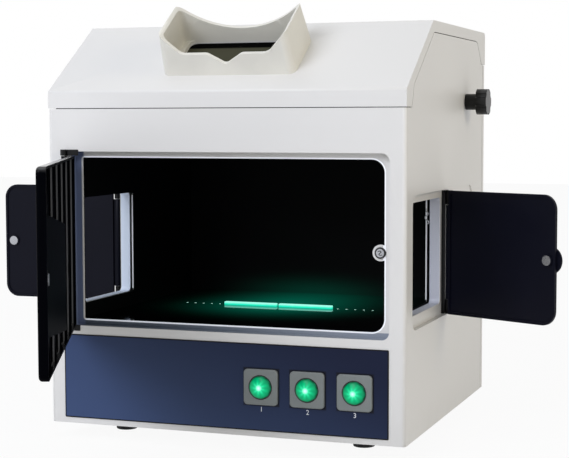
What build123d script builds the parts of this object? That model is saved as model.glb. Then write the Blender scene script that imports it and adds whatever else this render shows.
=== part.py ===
from build123d import *
import os
from math import asin, atan2, cos, degrees, radians, sin, tan

# Cabinet body. The origin is on the bench, under the middle of the cabinet.
body_width = 380.0
body_depth = 346.0
foot_height = 17.0
seam_height = 325.0
lip_height = 17.0
lid_rise = 87.0
slope_run = 101.7
sheet = 1.5
corner_radius = 4.0
fold_radius = 3.0
seam_gap = 0.8
panel_gap = 1.6
front_return = 6.0
rear_wrap = 12.0

# Lower edge of the lid, seen from the side
flange_width = 11.4
flange_foot = 19.0
flange_lean = 8.0
flange_tail = 18.0
flange_tail_lean = 23.0
flange_foot_radius = 2.0
flange_rise_radius = 9.0
flange_top_radius = 14.0
flange_tail_radius = 16.0
flange_end_radius = 3.0
lid_rear_depth = 36.5

# Front doorway and its recess, measured from the middle and from the body's lower edge
doorway_left = 165.0
doorway_right = 173.5
doorway_low = 102.0
doorway_high = 281.0
recess_depth = 11.5
doorway_radius = 8.0
doorway_hinge_radius = 1.5
seat_left = 8.0
seat_right = 8.0
seat_low = 5.7
seat_high = 6.3
seat_radius = 13.0
catch_tab_radius = 8.0
catch_inset = 4.0
catch_height = 185.0

# Front door
door_gap = 1.0
door_top_gap = 4.7
front_door_thickness = 8.3
front_door_skin = 2.2
front_door_edge = 3.0
front_door_angle = 66.0
front_rib_low = 2.6
front_rib_width = 1.8
front_rib_count = 5
front_rib_first = 65.0
front_rib_pitch = 58.3
front_pad_height = 6.0
front_pad_start = 135.0
front_pad_foot = 14.0
front_pad_tall = 99.5
front_pad_rise = 22.0
front_pad_radius = 3.0
front_flap_lap = 12.0
front_barrel_radius = 2.6
front_barrel_out = 3.0
front_barrel_side = 6.0
flap_gap = 0.4
bracket_height = 6.0
bracket_gap = 0.5
bracket_leaf = 1.2
bracket_reach = 9.0
bracket_side = 5.0
bracket_arm = 15.0

# Side ports and their recesses, measured from the front face and from the body's lower edge
port_front = 24.0
port_rear = 161.0
port_low = 108.0
port_high = 239.8
port_depth = 5.0
port_radius = 12.0
port_seat_front = 14.0
port_seat_rear = 6.0
port_seat_low = 12.5
port_seat_high = 8.0
port_neck_radius = 5.0
port_neck_gap = 3.0
port_leaf = 0.6
port_leaf_lap = 0.2
fold_back_length = 122.0
fold_back_depth = 1.5

# Side doors
side_door_thickness = 4.5
side_door_skin = 2.4
side_door_rim = 2.6
side_door_radius = 15.0
side_door_angle_right = 64.0
side_door_angle_left = 87.5
side_barrel_radius = 3.5
side_barrel_out = 2.5
side_barrel_back = 2.5
side_knuckle_length = 15.0
finger_tab_radius = 14.0
finger_tab_out = 5.0
finger_tab_thickness = 2.4

# Hinge pins and magnetic catches
door_pin_radius = 1.5
running_gap = 0.08
knuckle_gap = 0.5
front_pin_length = 26.0
catch_radius = 4.0
front_catch_proud = 2.0
catch_length = 5.0
keeper_radius = 5.0
keeper_thickness = 0.6
keeper_inset = 10.0

# Dark chamber
chamber_inset = 20.5
lining = 1.2
lining_clearance = 5.0
chamber_back_gap = 26.0
floor_height = 105.0
floor_thickness = 2.0
floor_clearance = 0.2
rail_size = 12.0
rail_thickness = 1.5
rail_margin = 6.0

# Base tray, feet and their screws
pan_flange = 18.0
foot_left = 137.0
foot_right = 128.5
foot_inset = 68.0
foot_top_radius = 12.5
foot_base_radius = 11.0
foot_recess_radius = 5.5
foot_recess_depth = 9.0
foot_bolt_radius = 2.0
foot_bolt_head_radius = 4.0
foot_bolt_head = 2.5
foot_nut_width = 7.0
foot_nut_height = 3.2
vent_slot_length = 56.0
vent_slot_width = 4.0
vent_pitch = 9.0
base_vent_count = 7
rear_vent_count = 9
rear_vent_height = 250.0
rear_vent_x = 82.0
base_vent_x = 70.0

# Control panel and push buttons
fascia_left = 174.0
fascia_right = 173.4
fascia_low = 6.0
fascia_high = 93.0
fascia_thickness = 0.8
fascia_radius = 1.0
button_first_x = 43.3
button_pitch = 48.25
button_height = 50.0
button_count = 3
bezel_size = 35.5
bezel_radius = 4.0
bezel_thickness = 3.2
sleeve_radius = 12.4
lens_radius = 11.0
lens_clearance = 0.35
lens_proud = 1.2
lens_dome = 3.6
lens_length = 16.0
button_travel = 3.0
switch_size = 29.0
switch_length = 34.0
switch_tab = 4.0

# Sample spotting light in the chamber floor
light_y = 190.0
light_x = -8.5
light_bar_length = 62.0
light_bar_width = 6.0
light_bar_gap = 3.0
light_proud = 3.2
light_box_height = 24.0
light_box_width = 22.0
light_box_margin = 56.0
pip_radius = 1.1
pip_pitch = 10.0
pip_count = 5
pip_first = 70.0

# Lamp unit, which tilts about a shaft through the right side panel
lamp_y = 249.6
lamp_height = 331.9
lamp_tilt_angle = 15.0
lamp_end_gap = 13.0
lamp_half_width = 60.0
lamp_above = 16.0
lamp_below = 24.0
lamp_sheet = 1.2
lamp_lip = 6.0
filter_thickness = 3.0
filter_gap = 0.6
tube_radius = 8.0
tube_pitch = 26.0
tube_end_gap = 14.0
tube_drop = 4.0
cap_length = 8.0
cap_step = 0.2
socket_length = 12.0
socket_half_width = 8.6
shaft_radius = 4.0
shaft_flange_radius = 10.0
shaft_flange = 2.0
bush_radius = 6.0
bush_flange_radius = 10.0
bush_flange = 2.5
shaft_hole_gap = 3.0

# Lamp knob
knob_boss_radius = 8.75
knob_boss_length = 12.5
knob_head_radius = 14.2
knob_head_length = 12.0
knob_flute_radius = 4.2
knob_flute_out = 2.4
knob_flutes = 6
knob_gap = 0.5
knob_socket = 16.0

# Viewing hood, measured up the slope from the lid's front fold and square to the slope
hood_half_width = 71.0
hood_foot = 27.0
hood_back = 94.0
hood_rise = 44.0
hood_draft_side = 3.0
hood_draft_front = 5.0
hood_draft_back = 1.5
hood_wall = 4.0
hood_radius = 8.0
hood_brow = 22.8
hood_nose = 12.5
hood_nose_half = 18.5
hood_nose_flat = 1.6
hood_brow_half = 46.0
hood_tip_half = 67.0
hood_dip = 16.5
hood_tip_radius = 5.0
hood_brow_radius = 13.0
hood_notch_radius = 9.0
hood_nose_radius = 5.0
hood_floor = 2.5
hood_lip = 2.5
hood_screw_radius = 1.2
hood_screw_head = 2.6
hood_screw_head_height = 1.8
hood_screw_length = 11.0
hood_screw_spread = 15.0

# Viewing window under the hood
window_side_lip = 6.0
window_margin = 3.0
window_thickness = 3.0
window_frame_width = 5.0
window_ledge = 1.5
window_cover = 2.0

# Lid hinges
hinge_x = 120.0
hinge_length = 60.0
hinge_barrel_radius = 3.5
hinge_out = 4.0
hinge_leaf = 1.5
hinge_leaf_height = 26.0
hinge_pin_radius = 2.0
hinge_pin_head = 1.2
hinge_pin_head_radius = 3.0
hinge_knuckle_share = 20.0
hinge_knuckle_gap = 0.4
hinge_screw_spread = 20.0
hinge_screw_drop = 17.0

# Lid seal, on the front panel's top flange
seal_width = 7.0
seal_inset = 1.5
seal_end_gap = 6.0

# Screws in the rear panel and the hinge leaves
screw_radius = 1.75
screw_head_radius = 3.4
screw_head_height = 2.0
screw_length = 7.0
screw_slot_width = 0.9
screw_slot_depth = 0.8
rear_flange = 14.0
rear_screw_inset = 8.0
rear_screw_low = 60.0
rear_screw_mid = 200.0
rear_screw_high = 350.0

# Mains inlet in the rear panel, with its two flange screws
inlet_x = 120.0
inlet_height = 42.0
inlet_flange_width = 50.0
inlet_flange_height = 28.0
inlet_flange = 3.0
inlet_body_width = 28.0
inlet_body_height = 20.5
inlet_body_length = 18.0
inlet_cavity_width = 24.4
inlet_cavity_height = 16.6
inlet_cavity_depth = 17.0
inlet_corner = 5.0
inlet_blade_width = 2.0
inlet_blade_height = 4.0
inlet_blade_length = 12.0
inlet_blade_spread = 7.0
inlet_blade_drop = 2.0
inlet_earth_rise = 2.5
inlet_tag = 4.0
inlet_screw_spread = 20.0

# Ballasts on the base tray
ballast_length = 150.0
ballast_width = 38.0
ballast_height = 26.0
ballast_x = -70.0
ballast_rear_gap = 91.0
ballast_pitch = 62.0
ballast_foot = 9.0
ballast_foot_height = 1.5
ballast_chamfer = 2.0

# Lead from the inlet to the ballasts, clipped along the base tray
lead_radius = 2.5
lead_bend = 12.0
lead_height = 12.0
lead_clearance = 1.5

# Places worked out from the sizes above
half_width = body_width / 2
front_y = -body_depth / 2
rear_y = body_depth / 2
bottom_z = foot_height
pan_top_z = bottom_z + sheet
seam_z = bottom_z + seam_height
panel_top_z = seam_z - seam_gap
fold_z = seam_z + lip_height
top_z = seam_z + lid_rise
lid_rear_z = top_z - lid_rear_depth
rear_panel_top_z = lid_rear_z - seam_gap
inner_x = half_width - sheet
inner_front_y = front_y + sheet
inner_rear_y = rear_y - sheet
wrap_y = rear_y - rear_wrap
slope_angle = atan2(top_z - fold_z, slope_run)
seat_y = front_y + recess_depth
seat_back_y = seat_y + sheet
floor_z = bottom_z + floor_height
chamber_back_y = rear_y - chamber_back_gap
chamber_half = half_width - chamber_inset
chamber_front_y = seat_back_y + lining
catch_x = doorway_right - seat_right - catch_inset
catch_z = bottom_z + catch_height
front_hinge_x = -doorway_left - front_barrel_side
front_hinge_y = front_y - front_barrel_out
door_low_z = bottom_z + doorway_low + door_gap
door_high_z = bottom_z + doorway_high - door_top_gap
port_front_y = front_y + port_front
port_rear_y = front_y + port_rear
port_low_z = bottom_z + port_low
port_high_z = bottom_z + port_high
port_seat_x = half_width - port_depth
side_hinge_x = half_width + side_barrel_out
side_hinge_y = port_rear_y + side_barrel_back
side_low_z = port_low_z + door_gap
side_high_z = port_high_z - door_gap
side_catch_z = (port_low_z + port_high_z) / 2
side_catch_y = port_front_y + door_gap + keeper_inset
fascia_front_y = front_y - fascia_thickness
bezel_front_y = fascia_front_y - bezel_thickness
button_z = bottom_z + button_height
sleeve_bore = lens_radius + lens_clearance
light_row_y = front_y + light_y
light_low_z = floor_z - floor_thickness - light_box_height
lamp_axis_y = front_y + lamp_y
lamp_axis_z = bottom_z + lamp_height
hinge_y = rear_y + hinge_out
hinge_z = lid_rear_z - seam_gap / 2
window_half = hood_half_width - hood_wall - window_side_lip
window_foot = hood_foot + hood_wall + hood_lip
window_back = hood_back - hood_wall
lamp_half_length = chamber_half - lamp_end_gap
tube_half_length = lamp_half_length - tube_end_gap
ballast_first_y = rear_y - ballast_rear_gap - ballast_pitch

slope_plane = Plane(
    origin=(0, front_y, fold_z),
    x_dir=(1, 0, 0),
    z_dir=(0, -sin(slope_angle), cos(slope_angle)),
)
lamp_frame = Pos(0, lamp_axis_y, lamp_axis_z) * Rot(-lamp_tilt_angle, 0, 0)


# Basic shapes
def block(x0, x1, y0, y1, z0, z1):
    """Box from corner to corner."""
    middle = Pos((x0 + x1) / 2, (y0 + y1) / 2, (z0 + z1) / 2)
    return middle * Box(x1 - x0, y1 - y0, z1 - z0)


def plate(a0, a1, b0, b1, low_radius=0, high_radius=0):
    """Rectangle from corner to corner, with its corners rounded at the low and high end of its first axis."""
    face = Pos((a0 + a1) / 2, (b0 + b1) / 2) * Rectangle(a1 - a0, b1 - b0)
    if high_radius:
        face = fillet(face.vertices().sort_by(Axis.X)[-2:], high_radius)
    if low_radius:
        face = fillet(face.vertices().sort_by(Axis.X)[:2], low_radius)
    return face


def outline(corners):
    """Closed face through corners, each given by its two coordinates and its rounding radius."""
    points = [(a, b) for a, b, radius in corners]
    radii = [radius for a, b, radius in corners]
    return make_face(FilletPolyline(*points, radius=radii, close=True))


def across_x(face, x0, x1):
    """Solid from a face drawn in Y and Z, between two places along X."""
    return extrude(Plane(origin=(x0, 0, 0), x_dir=(0, 1, 0), z_dir=(1, 0, 0)) * face, x1 - x0)


def across_y(face, y0, y1):
    """Solid from a face drawn in X and Z, between two places along Y."""
    return extrude(Plane(origin=(0, y1, 0), x_dir=(1, 0, 0), z_dir=(0, -1, 0)) * face, y1 - y0)


def up_z(face, z0, z1):
    """Solid from a face drawn in X and Y, between two heights."""
    return extrude(Pos(0, 0, z0) * face, z1 - z0)


def rod_x(y, z, radius, x0, x1):
    """Round bar along X."""
    return across_x(Pos(y, z) * Circle(radius), x0, x1)


def rod_y(x, z, radius, y0, y1):
    """Round bar along Y."""
    return across_y(Pos(x, z) * Circle(radius), y0, y1)


def rod_z(x, y, radius, z0, z1):
    """Round bar along Z."""
    return up_z(Pos(x, y) * Circle(radius), z0, z1)


def on_left(part):
    """The same piece for the cabinet's left side."""
    return mirror(part, about=Plane.YZ)


def swing(part, x, y, angle):
    """Turns a piece about an upright line."""
    return part.rotate(Axis((x, y, 0), (0, 0, 1)), angle)


def pan_screw():
    """Slotted pan-head screw that points down, with the underside of its head at the origin."""
    head = up_z(Circle(screw_head_radius), 0, screw_head_height)
    head = fillet(head.edges().group_by(Axis.Z)[-1], screw_head_height / 2)
    slot_half = screw_slot_width / 2
    slot_low = screw_head_height - screw_slot_depth
    head -= block(
        -screw_head_radius, screw_head_radius, -slot_half, slot_half, slot_low, screw_head_height
    )
    return head + up_z(Circle(screw_radius), -screw_length, 0)


# The line where the lid meets the body
def slope_z(y, depth):
    """Height of the line that lies a given depth under the lid's slope."""
    return fold_z + (y - front_y) * tan(slope_angle) - depth / cos(slope_angle)


def slope_y(z, depth):
    """Place along Y where that line reaches a height."""
    return front_y + (z - fold_z + depth / cos(slope_angle)) / tan(slope_angle)


def below_seam(drop, y0, y1, z0):
    """Everything below the lid's lower edge, as seen from the side, kept clear of it by a drop."""
    depth = flange_width + drop
    foot_y = front_y + flange_foot + drop
    rise_y = foot_y + flange_lean
    level = top_z - depth
    tail_y = rear_y - flange_tail - drop
    return outline(
        [
            (y0, z0, 0),
            (y0, seam_z - drop, 0),
            (foot_y, seam_z - drop, flange_foot_radius),
            (rise_y, slope_z(rise_y, depth), flange_rise_radius),
            (slope_y(level, depth), level, flange_top_radius),
            (tail_y - flange_tail_lean, level, flange_tail_radius),
            (tail_y, lid_rear_z - drop, flange_end_radius),
            (y1, lid_rear_z - drop, 0),
            (y1, z0, 0),
        ]
    )


def lid_section(inset):
    """Outline of the closed lid seen from the side, drawn in from its outer face."""
    front = front_y + inset
    rear = rear_y - inset
    top = top_z - inset
    low = seam_z - lip_height
    bend = fold_radius - inset / 2
    return outline(
        [
            (front, low, 0),
            (front, slope_z(front, inset), bend),
            (slope_y(top, inset), top, bend),
            (rear, top, 2 * bend),
            (rear, low, 0),
        ]
    )


# Body panels
def make_base_pan():
    """Base tray with upturned edges, bolt holes for the feet and two groups of vent slots."""
    pan = block(-inner_x, inner_x, inner_front_y, inner_rear_y, bottom_z, pan_top_z + pan_flange)
    pan = fillet(pan.edges().filter_by(Axis.Z), corner_radius - sheet)
    pan -= block(
        sheet - inner_x,
        inner_x - sheet,
        inner_front_y + sheet,
        inner_rear_y - sheet,
        pan_top_z,
        pan_top_z + pan_flange,
    )
    for x, y in foot_places():
        pan -= rod_z(x, y, foot_bolt_radius, bottom_z, pan_top_z)
    for side in (-1, 1):
        for row in range(base_vent_count):
            y = (row - (base_vent_count - 1) / 2) * vent_pitch
            slot = Pos(side * base_vent_x, y) * SlotOverall(vent_slot_length, vent_slot_width)
            pan -= up_z(slot, bottom_z, pan_top_z)
    return pan


def corner_section(x_half, front, back, radius, at_front):
    """Rectangle in X and Y with the two corners of its front or rear side rounded."""
    face = Pos(0, (front + back) / 2) * Rectangle(2 * x_half, back - front)
    corners = face.vertices().sort_by(Axis.Y)
    return fillet(corners[:2] if at_front else corners[-2:], radius)


def doorway_face(grow=0.0):
    """Outer edge of the front recess."""
    return plate(
        -doorway_left - grow,
        doorway_right + grow,
        bottom_z + doorway_low - grow,
        bottom_z + doorway_high + grow,
        doorway_hinge_radius + grow,
        doorway_radius + grow,
    )


def inner_doorway_face():
    """Edge of the opening inside the front recess."""
    return plate(
        seat_left - doorway_left,
        doorway_right - seat_right,
        bottom_z + doorway_low + seat_low,
        bottom_z + doorway_high - seat_high,
        doorway_hinge_radius,
        seat_radius,
    )


def make_front_panel():
    """Folded front sheet with the doorway, the switch holes and a flange under the lid."""
    return_y = front_y + front_return
    outer = corner_section(half_width, front_y, return_y, corner_radius, True)
    inner = corner_section(inner_x, inner_front_y, return_y, corner_radius - sheet, True)
    panel = up_z(outer - inner, bottom_z, panel_top_z)
    flange_top = block(
        -inner_x,
        inner_x,
        inner_front_y,
        seat_back_y,
        panel_top_z - sheet,
        panel_top_z,
    )
    panel += flange_top
    panel -= across_y(doorway_face(), front_y - sheet, seat_y)
    for x in button_places():
        panel -= rod_y(x, button_z, sleeve_radius, front_y, inner_front_y)
    return panel


def make_front_door_frame():
    """Pressed frame of the front recess, with the seat that the door shuts against and the catch tab."""
    frame = across_y(doorway_face(sheet), inner_front_y, seat_back_y)
    frame -= across_y(doorway_face(), inner_front_y, seat_y)
    frame -= across_y(inner_doorway_face(), seat_y, seat_back_y)
    frame += rod_y(catch_x, catch_z, catch_tab_radius, seat_y, seat_back_y)
    return frame - rod_y(catch_x, catch_z, catch_radius, seat_y, seat_back_y)


def port_face(grow=0.0):
    """Outer edge of a side recess, drawn in Y and Z."""
    return plate(
        port_front_y - grow,
        port_rear_y + grow,
        port_low_z - grow,
        port_high_z + grow,
        port_radius + grow,
        0,
    )


def port_hole_face(grow=0.0):
    """Edge of the opening inside a side recess."""
    return plate(
        port_front_y + port_seat_front - grow,
        port_rear_y - port_seat_rear + grow,
        port_low_z + port_seat_low - grow,
        port_high_z - port_seat_high + grow,
        port_neck_radius + grow,
        port_neck_radius + grow,
    )


def make_side_panel(has_shaft_hole):
    """Right-hand side sheet with the port recess and the shallow pocket that the open door folds into."""
    panel = across_x(
        below_seam(seam_gap, front_y + front_return, wrap_y - panel_gap, bottom_z),
        inner_x,
        half_width,
    )
    panel -= across_x(port_face(), inner_x, half_width)
    pocket = plate(port_rear_y, port_rear_y + fold_back_length, port_low_z, port_high_z, 0, port_radius)
    floor_x = half_width - fold_back_depth
    backing = across_x(pocket, floor_x - sheet, floor_x)
    panel -= across_x(pocket, floor_x, half_width)
    rim = plate(
        port_rear_y + sheet,
        port_rear_y + fold_back_length + sheet,
        port_low_z - sheet,
        port_high_z + sheet,
        0,
        port_radius + sheet,
    )
    panel += across_x(rim, floor_x - sheet, floor_x)
    panel += backing - across_x(port_face(sheet), floor_x - sheet, floor_x)
    flange_low = pan_top_z + pan_flange + sheet
    flange_high = rear_panel_top_z - 2 * sheet
    panel += up_z(rear_flange_section(), flange_low, flange_high)
    for z in rear_screw_heights():
        panel -= rod_y(rear_screw_x(), z, screw_radius, inner_rear_y - sheet, inner_rear_y)
    if has_shaft_hole:
        panel -= rod_x(lamp_axis_y, lamp_axis_z, bush_radius, inner_x, half_width)
    return panel


def rear_flange_section():
    """Angle in X and Y along a side panel's rear edge, which the rear panel is screwed to."""
    corner = (inner_x, inner_rear_y)
    outer = plate(inner_x - rear_flange, inner_x, wrap_y - rear_wrap, inner_rear_y)
    nearest = outer.vertices().sort_by_distance(corner)[0]
    outer = fillet(nearest, corner_radius - sheet)
    inner = plate(inner_x - rear_flange, inner_x - sheet, wrap_y - rear_wrap, inner_rear_y - sheet)
    return outer - inner


def make_port_frame():
    """Pressed frame of the right-hand side recess, with its seat and the neck that meets the chamber wall."""
    back_x = port_seat_x - sheet
    wall_x = chamber_half + lining
    frame = across_x(port_face(sheet), back_x, half_width - fold_back_depth - sheet)
    frame += across_x(
        port_face(sheet) - plate(port_rear_y, wrap_y, port_low_z - sheet, port_high_z + sheet),
        back_x,
        inner_x,
    )
    frame -= across_x(port_face(), port_seat_x, half_width)
    frame += across_x(port_hole_face(sheet), wall_x + port_neck_gap, back_x)
    frame -= across_x(port_hole_face(), wall_x, port_seat_x)
    return frame - rod_x(side_catch_y, side_catch_z, catch_radius, back_x, port_seat_x)


def make_rear_panel():
    """Folded rear sheet that wraps round the sides, with vents, screw holes and the inlet cut-out."""
    outer = corner_section(half_width, wrap_y, rear_y, corner_radius, False)
    inner = corner_section(inner_x, wrap_y, inner_rear_y, corner_radius - sheet, False)
    panel = up_z(outer - inner, bottom_z, rear_panel_top_z)
    for side in (-1, 1):
        for row in range(rear_vent_count):
            z = bottom_z + rear_vent_height + row * vent_pitch
            slot = Pos(side * rear_vent_x, z) * SlotOverall(vent_slot_length, vent_slot_width)
            panel -= across_y(slot, inner_rear_y, rear_y)
        for z in rear_screw_heights():
            panel -= rod_y(side * rear_screw_x(), z, screw_radius, inner_rear_y, rear_y)
    cutout = plate(
        inlet_x - inlet_body_width / 2,
        inlet_x + inlet_body_width / 2,
        inlet_z() - inlet_body_height / 2,
        inlet_z() + inlet_body_height / 2,
    )
    panel -= across_y(cutout, inner_rear_y, rear_y)
    for x, z in inlet_screw_places():
        panel -= rod_y(x, z, screw_radius, inner_rear_y, rear_y)
    for x, z in lower_leaf_screws():
        panel -= rod_y(x, z, screw_radius, inner_rear_y, rear_y)
    return panel


# Places that several pieces share
def foot_places():
    """The four places of the feet."""
    return [(x, front_y + y) for x in (-foot_left, foot_right) for y in (foot_inset, body_depth - foot_inset)]


def button_places():
    """Where the push buttons stand along the control panel."""
    return [button_first_x + number * button_pitch for number in range(button_count)]


def rear_screw_x():
    """How far from the middle the rear panel's screws stand."""
    return half_width - rear_screw_inset


def rear_screw_heights():
    """Heights of the rear panel's screws."""
    return [bottom_z + height for height in (rear_screw_low, rear_screw_mid, rear_screw_high)]


def inlet_z():
    """Height of the mains inlet's middle."""
    return bottom_z + inlet_height


def lead_start_z():
    """Height at which the lead leaves the inlet."""
    return inlet_z() + inlet_earth_rise


def inlet_screw_places():
    """The two screws beside the mains inlet."""
    return [(inlet_x + side * inlet_screw_spread, inlet_z()) for side in (-1, 1)]


def hinge_places():
    """Middles of the two lid hinges."""
    return [-hinge_x, hinge_x]


def lower_leaf_screws():
    """Screws that hold the lower hinge leaves to the rear panel."""
    return [
        (x + side * hinge_screw_spread, hinge_z - hinge_screw_drop)
        for x in hinge_places()
        for side in (-1, 1)
    ]


def upper_leaf_screws():
    """Screws that hold the upper hinge leaves to the lid."""
    return [
        (x + side * hinge_screw_spread, hinge_z + hinge_screw_drop)
        for x in hinge_places()
        for side in (-1, 1)
    ]


# Feet
def make_rubber_feet():
    """Four tapered rubber feet with a recess for the bolt head."""
    foot = loft([Circle(foot_base_radius), Pos(0, 0, foot_height) * Circle(foot_top_radius)])
    foot -= up_z(Circle(foot_recess_radius), 0, foot_recess_depth)
    foot -= up_z(Circle(foot_bolt_radius), foot_recess_depth, foot_height)
    return Compound(children=[Pos(x, y, 0) * foot for x, y in foot_places()])


def make_foot_screws():
    """Four bolts with their nuts, which hold the feet to the base tray."""
    head_low = foot_recess_depth - foot_bolt_head
    bolt = up_z(Circle(foot_bolt_head_radius), head_low, foot_recess_depth)
    bolt += up_z(Circle(foot_bolt_radius), foot_recess_depth, pan_top_z + foot_nut_height)
    nut = RegularPolygon(foot_nut_width / 2, 6, major_radius=False)
    bolt += up_z(nut, pan_top_z, pan_top_z + foot_nut_height)
    return Compound(children=[Pos(x, y, 0) * bolt for x, y in foot_places()])


# Dark chamber
def chamber_side_face():
    """Outline of a chamber side wall in Y and Z, which stops just under the lid."""
    depth = lining_clearance
    top = top_z - depth
    return outline(
        [
            (chamber_front_y, pan_top_z, 0),
            (chamber_front_y, slope_z(chamber_front_y, depth), 0),
            (slope_y(top, depth), top, fold_radius),
            (chamber_back_y, top, 0),
            (chamber_back_y, pan_top_z, 0),
        ]
    )


def make_chamber_wall_right():
    """Black chamber side wall with the port and the hole that the lamp shaft passes through."""
    wall = across_x(chamber_side_face(), chamber_half, chamber_half + lining)
    wall -= across_x(port_hole_face(), chamber_half, chamber_half + lining)
    hole = shaft_radius + shaft_hole_gap
    return wall - rod_x(lamp_axis_y, lamp_axis_z, hole, chamber_half, chamber_half + lining)


def make_chamber_wall_front():
    """Black sheet behind the front panel, with the inner doorway."""
    top = slope_z(seat_back_y, lining_clearance)
    edge = chamber_half + lining
    wall = block(-edge, edge, seat_back_y, chamber_front_y, pan_top_z, top)
    wall -= across_y(inner_doorway_face(), seat_back_y, chamber_front_y)
    for x in button_places():
        half = switch_size / 2 + switch_tab
        wall -= block(x - half, x + half, seat_back_y, chamber_front_y, button_z - half, button_z + half)
    return wall


def make_chamber_wall_back():
    """Black sheet that closes the chamber at the back."""
    edge = chamber_half + lining
    top = top_z - lining_clearance
    back = chamber_back_y + lining
    wall = block(-edge, edge, chamber_back_y, back, pan_top_z, top)
    return wall - rod_y(inlet_x, lead_start_z(), lead_radius + lead_clearance, chamber_back_y, back)


def light_bars():
    """Start and end along X of the two light bars."""
    left = light_x - light_bar_gap / 2
    right = light_x + light_bar_gap / 2
    return [(left - light_bar_length, left), (right, right + light_bar_length)]


def pip_places():
    """Places along X of the small lights beside the bars."""
    steps = [pip_first + number * pip_pitch for number in range(pip_count)]
    return [light_x + side * step for side in (-1, 1) for step in steps]


def make_chamber_floor():
    """Black floor plate with the slots of the spotting light."""
    edge = chamber_half - floor_clearance
    low = floor_z - floor_thickness
    front = chamber_front_y + floor_clearance
    plate_solid = block(-edge, edge, front, chamber_back_y - floor_clearance, low, floor_z)
    half = light_bar_width / 2
    for x0, x1 in light_bars():
        plate_solid -= block(x0, x1, light_row_y - half, light_row_y + half, low, floor_z)
    for x in pip_places():
        plate_solid -= rod_z(x, light_row_y, pip_radius, low, floor_z)
    return plate_solid


def make_floor_rails():
    """Two angle bars that carry the floor plate along the chamber's side walls."""
    top = floor_z - floor_thickness
    front = chamber_front_y + rail_margin
    back = chamber_back_y - rail_margin
    upright = block(
        chamber_half - rail_thickness, chamber_half, front, back, top - rail_size, top
    )
    shelf = block(chamber_half - rail_size, chamber_half, front, back, top - rail_thickness, top)
    rail = upright + shelf
    return Compound(children=[rail, on_left(rail)])


# Spotting light
def make_spotting_light_box():
    """Lamp box that hangs under the floor plate."""
    half = light_bar_length + light_box_margin
    width = light_box_width / 2
    top = floor_z - floor_thickness
    box = block(
        light_x - half, light_x + half, light_row_y - width, light_row_y + width, light_low_z, top
    )
    return fillet(box.edges().filter_by(Axis.X).group_by(Axis.Z)[0], ballast_chamfer)


def make_spotting_diffusers():
    """Two clear bars that carry the light up through the floor."""
    half = light_bar_width / 2
    low = floor_z - floor_thickness
    high = floor_z + light_proud
    bars = [
        block(x0, x1, light_row_y - half, light_row_y + half, low, high) for x0, x1 in light_bars()
    ]
    return Compound(children=bars)


def make_spotting_pips():
    """Small round lights in line with the bars."""
    low = floor_z - floor_thickness
    return Compound(children=[rod_z(x, light_row_y, pip_radius, low, floor_z) for x in pip_places()])


# Control panel
def make_control_fascia():
    """Thin coloured plate over the lower part of the front."""
    fascia = across_y(
        plate(
            -fascia_left,
            fascia_right,
            bottom_z + fascia_low,
            bottom_z + fascia_high,
            fascia_radius,
            fascia_radius,
        ),
        fascia_front_y,
        front_y,
    )
    for x in button_places():
        fascia -= rod_y(x, button_z, sleeve_radius, fascia_front_y, front_y)
    return fascia


def make_button_bezel(x):
    """Square frame round a push button."""
    half = bezel_size / 2
    face = plate(x - half, x + half, button_z - half, button_z + half, bezel_radius, bezel_radius)
    bezel = across_y(face, bezel_front_y, fascia_front_y)
    bezel = chamfer(bezel.faces().sort_by(Axis.Y)[0].edges(), bezel_thickness / 4)
    return bezel - rod_y(x, button_z, sleeve_radius, bezel_front_y, fascia_front_y)


def make_switch_body(x):
    """Switch behind a button: a sleeve through the panel, a square body and two terminal blades."""
    half = switch_size / 2
    back = inner_front_y + switch_length
    body = block(x - half, x + half, inner_front_y, back, button_z - half, button_z + half)
    body += rod_y(x, button_z, sleeve_radius, bezel_front_y, inner_front_y)
    bore_end = bezel_front_y + lens_length + button_travel + knuckle_gap
    body -= rod_y(x, button_z, sleeve_bore, bezel_front_y, bore_end)
    for side in (-1, 1):
        blade_x = x + side * half / 2
        body += block(
            blade_x - sheet, blade_x + sheet, back, back + switch_tab, button_z - sheet, button_z + sheet
        )
    return body


def make_button_lens(x):
    """Domed lens that is pressed into its sleeve."""
    rim = bezel_front_y - lens_proud
    tip = rim - lens_dome
    back = bezel_front_y + lens_length
    ball = (lens_radius**2 + lens_dome**2) / (2 * lens_dome)
    half_turn = asin(lens_radius / ball) / 2
    middle = (ball * sin(half_turn), tip + ball - ball * cos(half_turn))
    dome = ThreePointArc((0, tip), middle, (lens_radius, rim))
    stem = Polyline((lens_radius, rim), (lens_radius, back), (0, back), (0, tip))
    return Pos(x, 0, button_z) * revolve(make_face([dome, stem]), Axis.Y)


# Front door
def front_rib(x, near_z, rim_z):
    """Rib inside the front door, as high as the rim at one end and lower at the other."""
    skin_y = front_y + front_door_skin
    side = outline(
        [
            (skin_y - front_rib_low / 2, near_z, 0),
            (skin_y + front_rib_low, near_z, 0),
            (front_y + front_door_thickness, rim_z, 0),
            (skin_y - front_rib_low / 2, rim_z, 0),
        ]
    )
    return across_x(side, x - front_rib_width / 2, x + front_rib_width / 2)


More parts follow.
